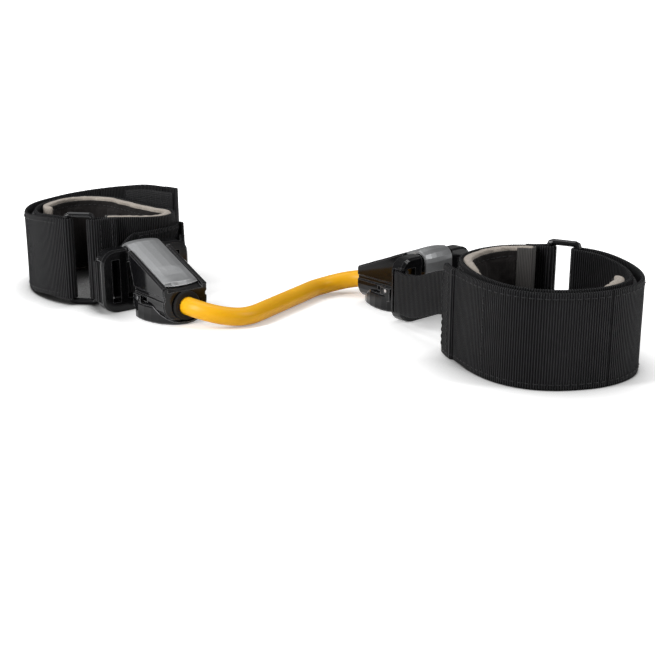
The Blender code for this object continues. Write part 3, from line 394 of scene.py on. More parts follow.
def settled_dust():
    tree, given, wanted = effect("settled dust", {"Amount": 0.1}, ["Mask"])
    face = add(tree, "ShaderNodeSeparateXYZ")
    join(tree, add(tree, "ShaderNodeNewGeometry").outputs["Normal"], face.inputs[0])
    up = sums(tree, "MAXIMUM", face.outputs["Z"], 0.0)
    specks = sums(tree, "POWER", texture(tree, "Noise", Scale=1600.0, Detail=4.0)["Fac"], 3.0)
    join(tree, sums(tree, "MULTIPLY", sums(tree, "MULTIPLY", up, specks), given["Amount"]), wanted["Mask"])
    return tree


GRAIN = grain()
EDGE_HIGHLIGHT = painted_edge_highlight()
DUST = settled_dust()
print("made groups", GRAIN.name, EDGE_HIGHLIGHT.name, DUST.name)

# %% [markdown]
# ## Finishes
# Each finish below is one short function. They all start from the same plain Principled shader, with
# the values that don't change written on its sockets, and then mix colour, roughness and bump from the
# groups above.

# %% Starting point for a finish
def finish(name, **sockets):
    made = bpy.data.materials.new(name)
    made.use_nodes = True
    shader = made.node_tree.nodes["Principled BSDF"]
    for label, value in sockets.items():
        shader.inputs[label.replace("_", " ")].default_value = value
    return made, made.node_tree, shader


def place_group(tree, group, **sockets):
    made = add(tree, "ShaderNodeGroup", node_tree=group)
    for label, value in sockets.items():
        made.inputs[label.replace("_", " ")].default_value = value
    return made.outputs


def blend_colour(tree, share, first, second):
    """A colour between two, by a mask. Either may be a socket."""
    made = add(tree, "ShaderNodeMix", data_type="RGBA")
    join(tree, share, made.inputs["Factor"])
    for socket, value in ((made.inputs[6], first), (made.inputs[7], second)):
        if isinstance(value, tuple):
            socket.default_value = (*value, 1.0)
        else:
            join(tree, value, socket)
    return made.outputs[2]


def blend_value(tree, share, low, high):
    made = add(tree, "ShaderNodeMapRange", ins={"To Min": low, "To Max": high})
    join(tree, share, made.inputs["Value"])
    return made.outputs["Result"]


def bump(tree, shader, height, distance, strength=1.0):
    made = add(tree, "ShaderNodeBump", ins={"Distance": distance, "Strength": strength})
    join(tree, height, made.inputs["Height"])
    join(tree, made.outputs["Normal"], shader.inputs["Normal"])


print("finish tools ready")

# %% [markdown]
# ### Webbing, thread and cloth
# Black polyester webbing is not one black: the rib tops catch light and the grooves between them stay
# dark, which is why the ribs can be counted from a step away. Here that shade is painted: the grooves get a
# far darker colour than the rib tops. Sheen adds the pale bloom that fibres show when they are lit from the
# side.

# %% Webbing and thread
def webbing_finish():
    made, tree, shader = finish("webbing", Sheen_Weight=0.05, Sheen_Roughness=0.35, Specular_IOR_Level=0.16)
    weave = place_group(tree, WEAVE, Rib_Pitch=1.3, Yarn_Pitch=0.62)
    cloud = place_group(tree, GRAIN, Scale=90.0, Detail=4.0)["Amount"]
    tops = blend_colour(tree, cloud, (0.008, 0.008, 0.009), (0.020, 0.020, 0.022))
    # Painted shade: the grooves between the ribs are painted near black.
    colour = blend_colour(tree, weave["Groove"], tops, (0.0008, 0.0008, 0.001))
    join(tree, colour, shader.inputs["Base Color"])
    join(tree, blend_value(tree, weave["Groove"], 0.42, 1.0), shader.inputs["Roughness"])
    bump(tree, shader, weave["Height"], 0.00036)
    return made


def thread_finish():
    made, tree, shader = finish("thread", Roughness=0.5, Sheen_Weight=0.05, Specular_IOR_Level=0.2)
    cloud = place_group(tree, GRAIN, Scale=2500.0)["Amount"]
    join(tree, blend_colour(tree, cloud, (0.006, 0.006, 0.0065), (0.028, 0.028, 0.03)),
         shader.inputs["Base Color"])
    bump(tree, shader, cloud, 0.0001)
    return made


WEBBING = webbing_finish()
THREAD = thread_finish()
print("finishes", WEBBING.name, THREAD.name)

# %% [markdown]
# The pad is a pale foam with a dark knitted lining on the side that touches the ankle, and a grey tape
# bound over one end. The two halves of the hook and loop closing differ: the pile half is a felt of
# loops that catches light as specks, and the hook half is rows of short stiff hooks.

# %% Foam, lining, tape, pile and hooks
def foam_finish():
    made, tree, shader = finish("foam", Roughness=0.9, Sheen_Weight=0.1)
    cells = texture(tree, "Voronoi", Scale=1500.0)["Distance"]
    cloud = place_group(tree, GRAIN, Scale=120.0, Detail=4.0)["Amount"]
    base = blend_colour(tree, cloud, (0.27, 0.23, 0.195), (0.47, 0.425, 0.375))
    join(tree, blend_colour(tree, cells, (0.20, 0.175, 0.15), base), shader.inputs["Base Color"])
    bump(tree, shader, cells, 0.0002)
    return made


def lining_finish():
    made, tree, shader = finish("lining", Roughness=0.9, Sheen_Weight=0.06, Specular_IOR_Level=0.1)
    loops = texture(tree, "Voronoi", Scale=1100.0, Randomness=0.25)["Distance"]
    join(tree, blend_colour(tree, loops, (0.020, 0.0175, 0.017), (0.007, 0.006, 0.006)),
         shader.inputs["Base Color"])
    bump(tree, shader, loops, 0.00025)
    return made


def tape_finish():
    made, tree, shader = finish("tape", Roughness=0.75, Sheen_Weight=0.1, Specular_IOR_Level=0.3)
    weave = place_group(tree, WEAVE, Rib_Pitch=0.9, Yarn_Pitch=0.45)
    # Painted shade: the grooves between the tape's ribs are painted a darker grey.
    join(tree, blend_colour(tree, weave["Groove"], (0.085, 0.081, 0.077), (0.030, 0.028, 0.027)),
         shader.inputs["Base Color"])
    bump(tree, shader, weave["Height"], 0.0001)
    return made


def pile_finish():
    made, tree, shader = finish("pile", Roughness=0.95, Sheen_Weight=0.2, Sheen_Roughness=0.45,
                                Specular_IOR_Level=0.2)
    fuzz = place_group(tree, GRAIN, Scale=1400.0, Detail=6.0)["Amount"]
    specks = sums(tree, "POWER", fuzz, 4.0)
    # Painted highlight: the lighter specks painted into the colour stand for light caught by the loops.
    join(tree, blend_colour(tree, sums(tree, "MULTIPLY", specks, 5.0), (0.006, 0.006, 0.007),
                            (0.075, 0.075, 0.08)), shader.inputs["Base Color"])
    bump(tree, shader, fuzz, 0.0006)
    return made


def hook_finish():
    made, tree, shader = finish("hook", Roughness=0.5, Specular_IOR_Level=0.15)
    dots = texture(tree, "Voronoi", Scale=800.0, Randomness=0.3)["Distance"]
    join(tree, blend_colour(tree, dots, (0.018, 0.018, 0.019), (0.003, 0.003, 0.0035)),
         shader.inputs["Base Color"])
    bump(tree, shader, sums(tree, "SUBTRACT", 1.0, dots), 0.0005)
    return made


FOAM = foam_finish()
LINING = lining_finish()
TAPE = tape_finish()
PILE = pile_finish()
HOOK = hook_finish()
print("finishes", FOAM.name, LINING.name, TAPE.name, PILE.name, HOOK.name)

# %% [markdown]
# ### Plastic, metal and rubber
# The clip's body is polished nylon and reflects like a dark mirror. The ring and slide loop are the
# same black with a softer skin. The hook plate is a cast part with a silver coating, which scatters
# light like fine metal flake. The tube is latex: a deep amber that light enters a little way.

# %% Black plastics
def gloss_finish():
    made, tree, shader = finish("gloss", Specular_IOR_Level=0.24)
    cloud = place_group(tree, GRAIN, Scale=260.0, Detail=5.0)["Amount"]
    edge_highlight = place_group(tree, EDGE_HIGHLIGHT, Radius=0.0008, Strength=5.0)["Mask"]
    dust = place_group(tree, DUST, Amount=0.2)["Mask"]
    # Painted highlight: a light grey is painted along the edges, standing for the light they catch.
    colour = blend_colour(tree, edge_highlight, (0.004, 0.004, 0.0045), (0.20, 0.20, 0.205))
    join(tree, blend_colour(tree, dust, colour, (0.20, 0.19, 0.18)), shader.inputs["Base Color"])
    join(tree, blend_value(tree, cloud, 0.05, 0.15), shader.inputs["Roughness"])
    bump(tree, shader, cloud, 0.00002, 0.3)
    return made


def moulding_finish():
    made, tree, shader = finish("moulding", Specular_IOR_Level=0.26)
    fine = place_group(tree, GRAIN, Scale=2200.0, Detail=2.0)["Amount"]
    cloud = place_group(tree, GRAIN, Scale=150.0, Detail=4.0)["Amount"]
    edge_highlight = place_group(tree, EDGE_HIGHLIGHT, Radius=0.0009, Strength=4.0)["Mask"]
    # Painted highlight: a lighter grey is painted along the edges, standing for the light they catch.
    join(tree, blend_colour(tree, edge_highlight, (0.0045, 0.0045, 0.005), (0.09, 0.09, 0.093)),
         shader.inputs["Base Color"])
    join(tree, blend_value(tree, cloud, 0.08, 0.24), shader.inputs["Roughness"])
    bump(tree, shader, fine, 0.00003, 0.5)
    return made


GLOSS = gloss_finish()
MOULDING = moulding_finish()
print("finishes", GLOSS.name, MOULDING.name)

# %% Metals, rubber and tube
def silver_finish():
    made, tree, shader = finish("silver", Metallic=0.7)
    flake = texture(tree, "Voronoi", Scale=3500.0)["Distance"]
    cloud = place_group(tree, GRAIN, Scale=180.0, Detail=5.0)["Amount"]
    edge_highlight = place_group(tree, EDGE_HIGHLIGHT, Radius=0.0012, Strength=5.0)["Mask"]
    colour = blend_colour(tree, flake, (0.26, 0.264, 0.268), (0.195, 0.198, 0.202))
    # Painted highlight: the edges are painted near white, standing for the bright rims the plate shows in
    # light.
    join(tree, blend_colour(tree, edge_highlight, colour, (0.72, 0.72, 0.73)), shader.inputs["Base Color"])
    join(tree, blend_value(tree, cloud, 0.36, 0.52), shader.inputs["Roughness"])
    bump(tree, shader, flake, 0.00002, 0.5)
    return made


def steel_finish():
    made, tree, shader = finish("steel", Metallic=1.0)
    cloud = place_group(tree, GRAIN, Scale=700.0, Detail=4.0)["Amount"]
    colour = blend_colour(tree, cloud, (0.46, 0.46, 0.47), (0.66, 0.66, 0.67))
    join(tree, colour, shader.inputs["Base Color"])
    join(tree, blend_value(tree, cloud, 0.18, 0.36), shader.inputs["Roughness"])
    return made


def rubber_finish():
    made, tree, shader = finish("rubber", Roughness=0.55, Specular_IOR_Level=0.2)
    cloud = place_group(tree, GRAIN, Scale=900.0, Detail=4.0)["Amount"]
    dust = place_group(tree, DUST, Amount=0.15)["Mask"]
    base = blend_colour(tree, cloud, (0.003, 0.003, 0.003), (0.008, 0.0075, 0.0075))
    join(tree, blend_colour(tree, dust, base, (0.16, 0.15, 0.14)), shader.inputs["Base Color"])
    bump(tree, shader, cloud, 0.00008)
    return made


def tube_finish():
    made, tree, shader = finish("tube", Subsurface_Weight=0.12, Subsurface_Scale=0.004,
                                Subsurface_Radius=(1.0, 0.45, 0.08), Specular_IOR_Level=0.22)
    cloud = place_group(tree, GRAIN, Scale=70.0, Detail=5.0)["Amount"]
    fine = place_group(tree, GRAIN, Scale=1500.0, Detail=2.0)["Amount"]
    dust = place_group(tree, DUST, Amount=0.1)["Mask"]
    base = blend_colour(tree, cloud, (0.66, 0.315, 0.003), (0.78, 0.40, 0.006))
    join(tree, blend_colour(tree, dust, base, (0.93, 0.70, 0.32)), shader.inputs["Base Color"])
    join(tree, blend_value(tree, fine, 0.30, 0.46), shader.inputs["Roughness"])
    bump(tree, shader, fine, 0.00003, 0.5)
    return made


SILVER = silver_finish()
STEEL = steel_finish()
RUBBER = rubber_finish()
TUBE = tube_finish()
print("finishes", SILVER.name, STEEL.name, RUBBER.name, TUBE.name)

# %% [markdown]
# ## The tube
# It leaves one clip, dips to the floor, bows across to the other clip and climbs into it. A curve with
# a round bevel is the natural way to make a tube, since its line stays easy to change.

# %% Tube
TUBE_RADIUS = 5.4
TUBE_AXIS_Z = 11.0
TUBE_STOPS = (39.0, 44.0, 49.5)
TUBE_ROUTE = [
    (-76.19, 668.24, 10.51),
    (-68.3, 664.92, 9.13),
    (-59.76, 664.4, 7.48),
    (-51.53, 666.75, 6.18),
    (-44.55, 671.71, 5.8),
    (-39.52, 678.65, 5.8),
    (-35.11, 686.03, 5.8),
    (-30.71, 693.42, 5.8),
    (-26.28, 700.85, 5.8),
    (-21.88, 708.24, 5.8),
    (-17.48, 715.63, 5.8),
    (-13.07, 723.01, 5.8),
    (-8.54, 730.32, 5.8),
    (-2.24, 736.11, 6.18),
    (5.67, 739.37, 7.48),
    (14.22, 739.7, 9.13),
    (22.36, 737.05, 10.51),
]


def resistance_tube():
    left = clip_place("left")
    right = clip_place("right")
    route = [left @ Vector((x, 0, TUBE_AXIS_Z)) for x in TUBE_STOPS]
    route += [Vector(p) for p in TUBE_ROUTE]
    route += [right @ Vector((x, 0, TUBE_AXIS_Z)) for x in reversed(TUBE_STOPS)]
    points, length = even_steps(smooth_line(route, False), 128)
    curve = bpy.data.curves.new("stretch_tube", "CURVE")
    curve.dimensions = "3D"
    curve.bevel_depth = TUBE_RADIUS * MM
    curve.bevel_resolution = 8
    curve.use_fill_caps = True
    line = curve.splines.new("POLY")
    line.points.add(len(points) - 1)
    for spot, point in zip(line.points, points):
        spot.co = (*world(*point), 1.0)
    line.use_smooth = True
    curve.materials.append(TUBE)
    made = bpy.data.objects.new("stretch_tube", curve)
    bpy.context.scene.collection.objects.link(made)
    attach(made, "cable")
    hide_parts("resistance_tube")
    print("tube", round(length, 1), "mm long")
    return made


resistance_tube()

# %% [markdown]
# ## Woven strips
# Webbing keeps its width and thickness whatever way it runs, so a strip can be lofted: one rounded
# cross-section is carried along a line. Simulation would only blur it. The line is cut into steps of a
# quarter rib, and each section is fattened or thinned a little, so that the ribs are real relief
# and the selvedges are gently notched. A slow wobble keeps the strip from looking machined.

# %% Band: a strip's line, cut to the rib
RIB_PITCH = 1.3
RIB_HEIGHT = 0.16
STEPS_PER_RIB = 4


class Band:
    """A strip on edge. Each row of line is plan x, plan y, low edge and thickness."""

    def __init__(self, rows, width, pitch=RIB_PITCH):
        track = [Vector(row) for row in rows]
        count = max(8, round(track_length(track) / pitch * STEPS_PER_RIB))
        self.rows, self.length = even_steps(track, count)
        self.width = width
        self.pitch = pitch
        self.sides = []
        for k in range(len(self.rows)):
            run = (self.rows[min(count, k + 1)] - self.rows[max(0, k - 1)]).xy
            run.normalize()
            self.sides.append(Vector((run.y, -run.x)))

    def along(self, k):
        return self.length * k / (len(self.rows) - 1)

    def nearest(self, spot):
        """The length along the strip that lies closest to a plan place."""
        spot = Vector(spot).xy
        best = min(range(len(self.rows)), key=lambda k: (self.rows[k].xy - spot).length)
        return self.along(best)

    def on_face(self, along, across, face, proud):
        """A point on one face, which is 1 on the right of the line and -1 on its left."""
        place = min(len(self.rows) - 1.001, max(0.0, along / self.length * (len(self.rows) - 1)))
        low = int(place)
        row = self.rows[low].lerp(self.rows[low + 1], place - low)
        side = self.sides[low].lerp(self.sides[low + 1], place - low)
        reach = face * (row[3] / 2 + proud) + wobble(along, across, self.seed, self.size)
        spot = row.xy + side * reach
        return world(spot.x, spot.y, row[2] + across)


def wobble(along, across, seed, size):
    return size * noise.noise(Vector((along * 0.035, across * 0.05, seed)))


print("rib pitch", RIB_PITCH, "mm, height", RIB_HEIGHT, "mm")

# %% Lofting a band into a mesh
ACROSS_STEPS = 10
BEAD = 0.8
SELVEDGE_FADE = 1.5
SELVEDGE_NOTCH = 0.08
FLOOR_CLEAR = 0.05


def band_section(width, thick):
    """Across and out places round a strip, as half-round selvedges and two flat faces."""
    bead = min(thick / 2, BEAD)
    out = []
    for k in range(ACROSS_STEPS + 1):
        out.append((bead + (width - 2 * bead) * k / ACROSS_STEPS, thick / 2))
    out += [(width - bead * 0.3, thick * 0.36), (width, 0.0), (width - bead * 0.3, -thick * 0.36)]
    for k in range(ACROSS_STEPS + 1):
        out.append((width - bead - (width - 2 * bead) * k / ACROSS_STEPS, -thick / 2))
    out += [(bead * 0.3, -thick * 0.36), (0.0, 0.0), (bead * 0.3, thick * 0.36)]
    return out


def loft_mesh(name, rings, finish_used):
    """A closed mesh through rings of equal count, with a cap at each end."""
    count = len(rings[0])
    points = [p for ring in rings for p in ring]
    last = (len(rings) - 1) * count
    faces = []
    for row in range(0, last, count):
        for col in range(count):
            beside = (col + 1) % count
            faces.append((row + col, row + beside, row + count + beside, row + count + col))
    faces.append(tuple(reversed(range(count))))
    faces.append(tuple(range(last, last + count)))
    mesh = bpy.data.meshes.new(name)
    mesh.from_pydata(points, [], faces)
    turn = bmesh.new()
    turn.from_mesh(mesh)
    bmesh.ops.recalc_face_normals(turn, faces=turn.faces)
    turn.to_mesh(mesh)
    turn.free()
    mesh.shade_smooth()
    mesh.materials.append(finish_used)
    made = bpy.data.objects.new(name, mesh)
    bpy.context.scene.collection.objects.link(made)
    return made


def write_lengths(made, along, across):
    for label, values in (("along", along), ("across", across)):
        layer = made.data.attributes.new(label, "FLOAT", "POINT")
        layer.data.foreach_set("value", values)


def weave_band(name, band, finish_used, ribs=RIB_HEIGHT, seed=0.0, size=0.12):
    band.seed = seed
    band.size = size
    rings = []
    along = []
    across = []
    for k, (row, side) in enumerate(zip(band.rows, band.sides)):
        x, y, low, thick = row
        place = band.along(k)
        wave = math.cos(2 * math.pi * place / band.pitch)
        ring = []
        for reach, out in band_section(band.width, thick):
            edge = min(reach, band.width - reach) / SELVEDGE_FADE
            swell = ribs * wave / 2 * min(1.0, edge) * (1 if out > 0 else -1)
            shift = wobble(place, reach, seed, size) + swell
            notch = SELVEDGE_NOTCH * wave if edge < 0.2 else 0.0
            z = low + reach + (notch if reach > band.width / 2 else -notch)
            spot = Vector((x, y)) + side * (out + shift)
            ring.append(world(spot.x, spot.y, max(FLOOR_CLEAR, z)))
            along.append(place)
            across.append(reach)
        rings.append(ring)
    made = loft_mesh(name, rings, finish_used)
    write_lengths(made, along, across)
    print(name, round(band.length, 1), "mm long,", len(made.data.vertices), "points")
    return made


print("section of", len(band_section(50.0, 2.0)), "points")

# %% [markdown]
# ## The straps
# One webbing makes most of a cuff. It is sewn back on itself beside the slide loop, turns round one
# bar, goes round the ankle outside the pad, turns round the other bar and comes back over the outside
# as the tail. The layers are stacked from the middle of the pad outward with a hair's gap between them.

# %% Sizes of the layers, in millimetres
WEBBING_WIDTH = 50.0
WEBBING_THICK = 2.0
PAD_THICK = 5.0
LAYER_GAP = 0.3
PILE_THICK = 1.8
HOOK_THICK = 1.2
PATCH_MARGIN = 3.0
HOOK_LENGTH = 46.0
PILE_START = 16.0
PILE_END = 44.0
HEM_THICK = 3.6
HEM_LENGTH = 12.0
RETURN_LENGTH = 13.0
RETURN_FLAT = 3.0
LOOP_ROD = 3.4
LOOP_PITCH = 16.5
TURN_GAP = 0.35
LIFT = LOOP_ROD + 0.4
LIFT_FLAT = 12.0
LIFT_FADE = 45.0

# %% [markdown]
# Every offset below counts outward from the middle of the pad. Each is worked out from the one inside
# it, so a thicker webbing or a wider gap moves all the layers that lie over it.

# %% Offsets of the layers
PAD_FACE = PAD_THICK / 2
STRAP_OFFSET = PAD_FACE + LAYER_GAP + WEBBING_THICK / 2
STRAP_FACE = STRAP_OFFSET + WEBBING_THICK / 2
PILE_OFFSET = STRAP_FACE + LAYER_GAP + PILE_THICK / 2
RETURN_OFFSET = STRAP_FACE + LAYER_GAP + WEBBING_THICK / 2
TURN_RADIUS = LOOP_ROD / 2 + TURN_GAP + WEBBING_THICK / 2
BAR_OFFSET = STRAP_OFFSET + TURN_RADIUS
TAIL_OFFSET = STRAP_OFFSET + 2 * TURN_RADIUS
HOOK_OFFSET = TAIL_OFFSET - WEBBING_THICK / 2 - LAYER_GAP - HOOK_THICK / 2
print("layers reach", TAIL_OFFSET + WEBBING_THICK / 2, "mm out from the middle of the pad")

# %% How the layers climb and lean
def lift(line, s):
    """The webbing climbs a little to pass through the slide loop's window."""
    away = abs((s + line.length / 2) % line.length - line.length / 2)
    return LIFT * (1 - smooth_step((away - LIFT_FLAT) / LIFT_FADE))


def loop_bar(line):
    """How far each bar of the slide loop lies from the start of the girth."""
    low = 0.0
    high = LOOP_PITCH
    for _ in range(40):
        mid = (low + high) / 2
        if (line.at(mid, BAR_OFFSET) - line.at(-mid, BAR_OFFSET)).length < LOOP_PITCH:
            low = mid
        else:
            high = mid
    return (low + high) / 2


def tail_rise(cuff, s):
    """The outer layer climbs a little on its way to the free end."""
    rise, first, run = cuff["rise"]
    return rise * smooth_step((first - s) / run)


def tail_lean(cuff, s):
    """Extra stand-off of the tail towards its free end, and its rise."""
    off, fade = cuff["stand"]
    return off * smooth_step((cuff["tail_end"] + fade - s) / fade), tail_rise(cuff, s)


def layer_row(line, s, offset, thick=WEBBING_THICK, rise=0.0):
    spot = line.at(s, offset)
    return (spot.x, spot.y, lift(line, s) + rise, thick)


print("the webbing climbs", LIFT, "mm to its slide loop")

# %% Main strap
TAIL_OVERLAP = 12.0
TURN_STEPS = 24


def turn_rows(line, s, ahead, from_inside):
    """Half a turn of webbing round a slide loop bar."""
    centre = line.at(s, BAR_OFFSET)
    out = line.side(s)
    onward = Vector((-out.y, out.x)) * ahead
    rows = []
    for k in range(1, TURN_STEPS):
        angle = math.pi * k / TURN_STEPS
        reach = -math.cos(angle) if from_inside else math.cos(angle)
        spot = centre + (out * reach + onward * math.sin(angle)) * TURN_RADIUS
        rows.append((spot.x, spot.y, lift(line, s), WEBBING_THICK))
    return rows


def return_offset(s, bar):
    """The sewn-back end leaves the bar at the tail's height and drops onto the strap."""
    drop = smooth_step((s - bar) / (RETURN_LENGTH - RETURN_FLAT))
    return TAIL_OFFSET + (RETURN_OFFSET - TAIL_OFFSET) * drop


def strap_rows(cuff):
    line = cuff["line"]
    bar = loop_bar(line)
    last = line.length - bar
    rows = []
    for s in line.stations(bar + RETURN_LENGTH, bar):
        rows.append(layer_row(line, s, return_offset(s, bar)))
    rows += turn_rows(line, bar, -1, False)
    rows += [layer_row(line, s, STRAP_OFFSET) for s in line.stations(bar, last)]
    rows += turn_rows(line, last, 1, True)
    for s in line.stations(last, cuff["split"] + TAIL_OVERLAP):
        rows.append(layer_row(line, s, TAIL_OFFSET, WEBBING_THICK, tail_rise(cuff, s)))
    return rows


for word in WORDS:
    CUFFS[word]["strap"] = Band(strap_rows(CUFFS[word]), WEBBING_WIDTH)
    strap = weave_band("woven_strap_" + word, CUFFS[word]["strap"], WEBBING, seed=1.0 + len(word))
    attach(strap, "cuff_" + word)
    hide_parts("strap_" + word)

# %% [markdown]
# The tail is the part that a hand peels off the pile. Its end is folded back and stitched into a thick
# hem, which gives the fingers something to hold.

# %% Tail
HEM_STEP = 1.2
END_TAPER = 0.9


def tail_rows(cuff):
    line = cuff["line"]
    end = cuff["tail_end"]
    rows = []
    for s in line.stations(cuff["split"] + TAIL_OVERLAP - LAYER_GAP, end):
        extra, rise = tail_lean(cuff, s)
        fold = smooth_step((end + HEM_LENGTH + HEM_STEP / 2 - s) / HEM_STEP)
        taper = smooth_step((end + END_TAPER - s) / END_TAPER)
        thick = WEBBING_THICK + (HEM_THICK - WEBBING_THICK) * fold - taper
        shift = (HEM_THICK - WEBBING_THICK) / 2 * fold
        rows.append(layer_row(line, s, TAIL_OFFSET + extra + shift, thick, rise))
    return rows


for word in WORDS:
    cuff = CUFFS[word]
    line = cuff["line"]
    cuff["tail"] = Band(tail_rows(cuff), WEBBING_WIDTH)
    tail = weave_band("woven_tail_" + word, cuff["tail"], WEBBING, seed=5.0 + len(word), size=0.2)
    before = line.at(cuff["split"] + TAIL_OVERLAP - 1.0, TAIL_OFFSET)
    after = line.at(cuff["split"] - TAIL_OVERLAP, TAIL_OFFSET)
    middle = WEBBING_WIDTH / 2
    cuff["peel"] = (world(before.x, before.y, middle), world(after.x, after.y, middle))
    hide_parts("strap_tail_" + word)
    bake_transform(tail)

# %% [markdown]
# ## Anchor webbing
# A narrower webbing lies flat on the strap, where it is sewn down. Both its ends fold away towards the
# ring, pass round the ring's end bars and are stitched back on themselves. The fold angle isn't
# guessed: it is found by turning the run until it just touches the bar's round.

# %% Route of the anchor webbing
ANCHOR_WIDTH = 25.0
ANCHOR_THICK = 1.6
ANCHOR_FOLD = 1.6
ANCHOR_Z_RING = 6.8
ANCHOR_Z_CUFF = 18.0
ANCHOR_RETURN = 8.0
ANCHOR_CONVERGE = 8.0
ANCHOR_OFFSET = STRAP_FACE + LAYER_GAP + ANCHOR_THICK / 2
ANCHOR_CLEAR = 9.0
END_BAR_Y = 27.3
END_BAR_BACK = 2.2
END_BAR_RADIUS = 2.2
ANCHOR_TURN = END_BAR_RADIUS + LAYER_GAP + ANCHOR_THICK / 2
FOLD_STEPS = 16
RUN_STEPS = 40


def turned(vector, angle):
    c = math.cos(angle)
    s = math.sin(angle)
    return Vector((vector.x * c - vector.y * s, vector.x * s + vector.y * c))


def left_of(vector):
    return Vector((-vector.y, vector.x))


def anchor_branch(line, root, sense, bar, hand):
    """Rows from the cuff to a ring bar, round it and back, after a fold whose angle is found here."""
    heading = left_of(line.side(root)) * -sense
    hub = line.at(root, ANCHOR_OFFSET) + left_of(heading) * sense * ANCHOR_FOLD

    def straight(fold):
        """Direction, start and end of the run to the bar after a fold."""
        here = turned(heading, sense * fold)
        spot = hub - left_of(here) * sense * ANCHOR_FOLD
        return here, spot, bar + left_of(here) * hand * ANCHOR_TURN

    best = (math.inf, 0.0)
    for k in range(1, 181):
        here, spot, touch = straight(math.radians(k))
        miss = abs(here.x * (touch - spot).y - here.y * (touch - spot).x)
        if here.dot(touch - spot) > 0 and miss < best[0]:
            best = (miss, math.radians(k))
    fold = best[1]
    here, spot, touch = straight(fold)
    run = (touch - spot).length
    path = []
    for k in range(1, FOLD_STEPS):
        turn = turned(heading, sense * fold * k / FOLD_STEPS)
        path.append((hub - left_of(turn) * sense * ANCHOR_FOLD, run))
    for k in range(RUN_STEPS):
        path.append((spot.lerp(touch, k / RUN_STEPS), run * (1 - k / RUN_STEPS)))
    for k in range(TURN_STEPS):
        angle = math.pi * k / TURN_STEPS
        arm = left_of(here) * hand * math.cos(angle) + here * math.sin(angle)
        path.append((bar + arm * ANCHOR_TURN, 0.0))
    near = ANCHOR_THICK + LAYER_GAP
    for k in range(TURN_STEPS + 1):
        share = k / TURN_STEPS
        across = -ANCHOR_TURN + (2 * ANCHOR_TURN - near) * smooth_step(share)
        path.append((bar - here * (ANCHOR_CONVERGE * share) + left_of(here) * hand * across, 0.0))
    back = ANCHOR_CONVERGE + ANCHOR_RETURN
    path.append((bar - here * back + left_of(here) * hand * (ANCHOR_TURN - near), back))
    out = []
    for point, away in path:
        share = smooth_step((away - ANCHOR_CLEAR) / (run - ANCHOR_CLEAR))
        low = ANCHOR_Z_RING + (ANCHOR_Z_CUFF - ANCHOR_Z_RING) * share
        out.append((point.x, point.y, low, ANCHOR_THICK))
    return out


def anchor_rows(word):
    cuff = CUFFS[word]
    line = cuff["line"]
    place = clip_place(word)
    bars = [(place @ Vector((-END_BAR_BACK, hand * END_BAR_Y, 0))).to_2d() for hand in (-1, 1)]
    low, high = cuff["roots"]
    first = anchor_branch(line, low, 1, bars[0], -1)
    second = anchor_branch(line, high, -1, bars[1], 1)
    middle = []
    for s in line.stations(low, high):
        spot = line.at(s, ANCHOR_OFFSET)
        middle.append((spot.x, spot.y, ANCHOR_Z_CUFF, ANCHOR_THICK))
    return first[::-1] + middle + second


for word in WORDS:
    CUFFS[word]["tie"] = Band(anchor_rows(word), ANCHOR_WIDTH)
    tie = weave_band("woven_anchor_" + word, CUFFS[word]["tie"], WEBBING, ribs=0.12,
                     seed=9.0 + len(word), size=0.06)
    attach(tie, "cuff_" + word)
    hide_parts("anchor_webbing_" + word)

# %% [markdown]
# ## Pads
# The pad is a 5 mm foam under a soft lining. Its inner face swells between the two sewing lines near
# its long edges, and its free end curls inward, showing the pale cut face of the foam.

# %% Pad shape
PAD_START = 15.0
PAD_SLIP = (75.0, 95.0, 160.0, 178.0)
PAD_CURL_LENGTH = 14.0
PAD_CROWN = 0.5
FOAM_ROUND = 1.0
SEAM_INSET = 5.0
SEAM_DEPTH = 0.75
SEAM_WIDTH = 1.3
BINDING_LENGTH = 8.0
BINDING_THICK = 0.8


def seam_gap(z):
    """Height above or below the nearer of a pad's two sewing lines."""
    return min(abs(z - SEAM_INSET), abs(z - WEBBING_WIDTH + SEAM_INSET))


def crown(z):
    """How far the inner face swells at a height, drawn in at the two sewing lines."""
    middle = 1 - abs(z / (WEBBING_WIDTH / 2) - 1) ** 2.2
    low = math.exp(-((z - SEAM_INSET) / SEAM_WIDTH) ** 2)
    high = math.exp(-((z - WEBBING_WIDTH + SEAM_INSET) / SEAM_WIDTH) ** 2)
    return PAD_CROWN * middle - SEAM_DEPTH * (low + high)


def curl(cuff, s):
    reach = max(0.0, (s - (cuff["pad_end"] - PAD_CURL_LENGTH)) / PAD_CURL_LENGTH)
    return -cuff["pad_curl"] * reach * reach


def pad_height(cuff, s):
    """Share of the webbing's height that the pad reaches: less where it has slipped down."""
    first, full, last, gone = PAD_SLIP
    share = smooth_step((s - first) / (full - first)) * (1 - smooth_step((s - last) / (gone - last)))
    return 1 - cuff["pad_drop"] * share / WEBBING_WIDTH


def soft_corner(offset, z, start):
    """A quarter round about a centre, from a starting angle."""
    angles = [math.radians(start + 22.5 * k) for k in range(5)]
    return [(offset + FOAM_ROUND * math.cos(a), z + FOAM_ROUND * math.sin(a)) for a in angles]


def foam_section():
    """Offset and height round the pad's cross-section, with soft corners."""
    face = PAD_FACE - FOAM_ROUND
    top = WEBBING_WIDTH - FOAM_ROUND
    span = WEBBING_WIDTH - 2 * FOAM_ROUND
    out = soft_corner(face, top, 0) + soft_corner(-face, top, 90)
    for k in range(1, 32):
        z = top - span * k / 32
        out.append((-PAD_FACE - crown(z), z))
    out += soft_corner(-face, FOAM_ROUND, 180) + soft_corner(face, FOAM_ROUND, 270)
    return out + [(PAD_FACE, FOAM_ROUND + span * k / 6) for k in range(1, 6)]


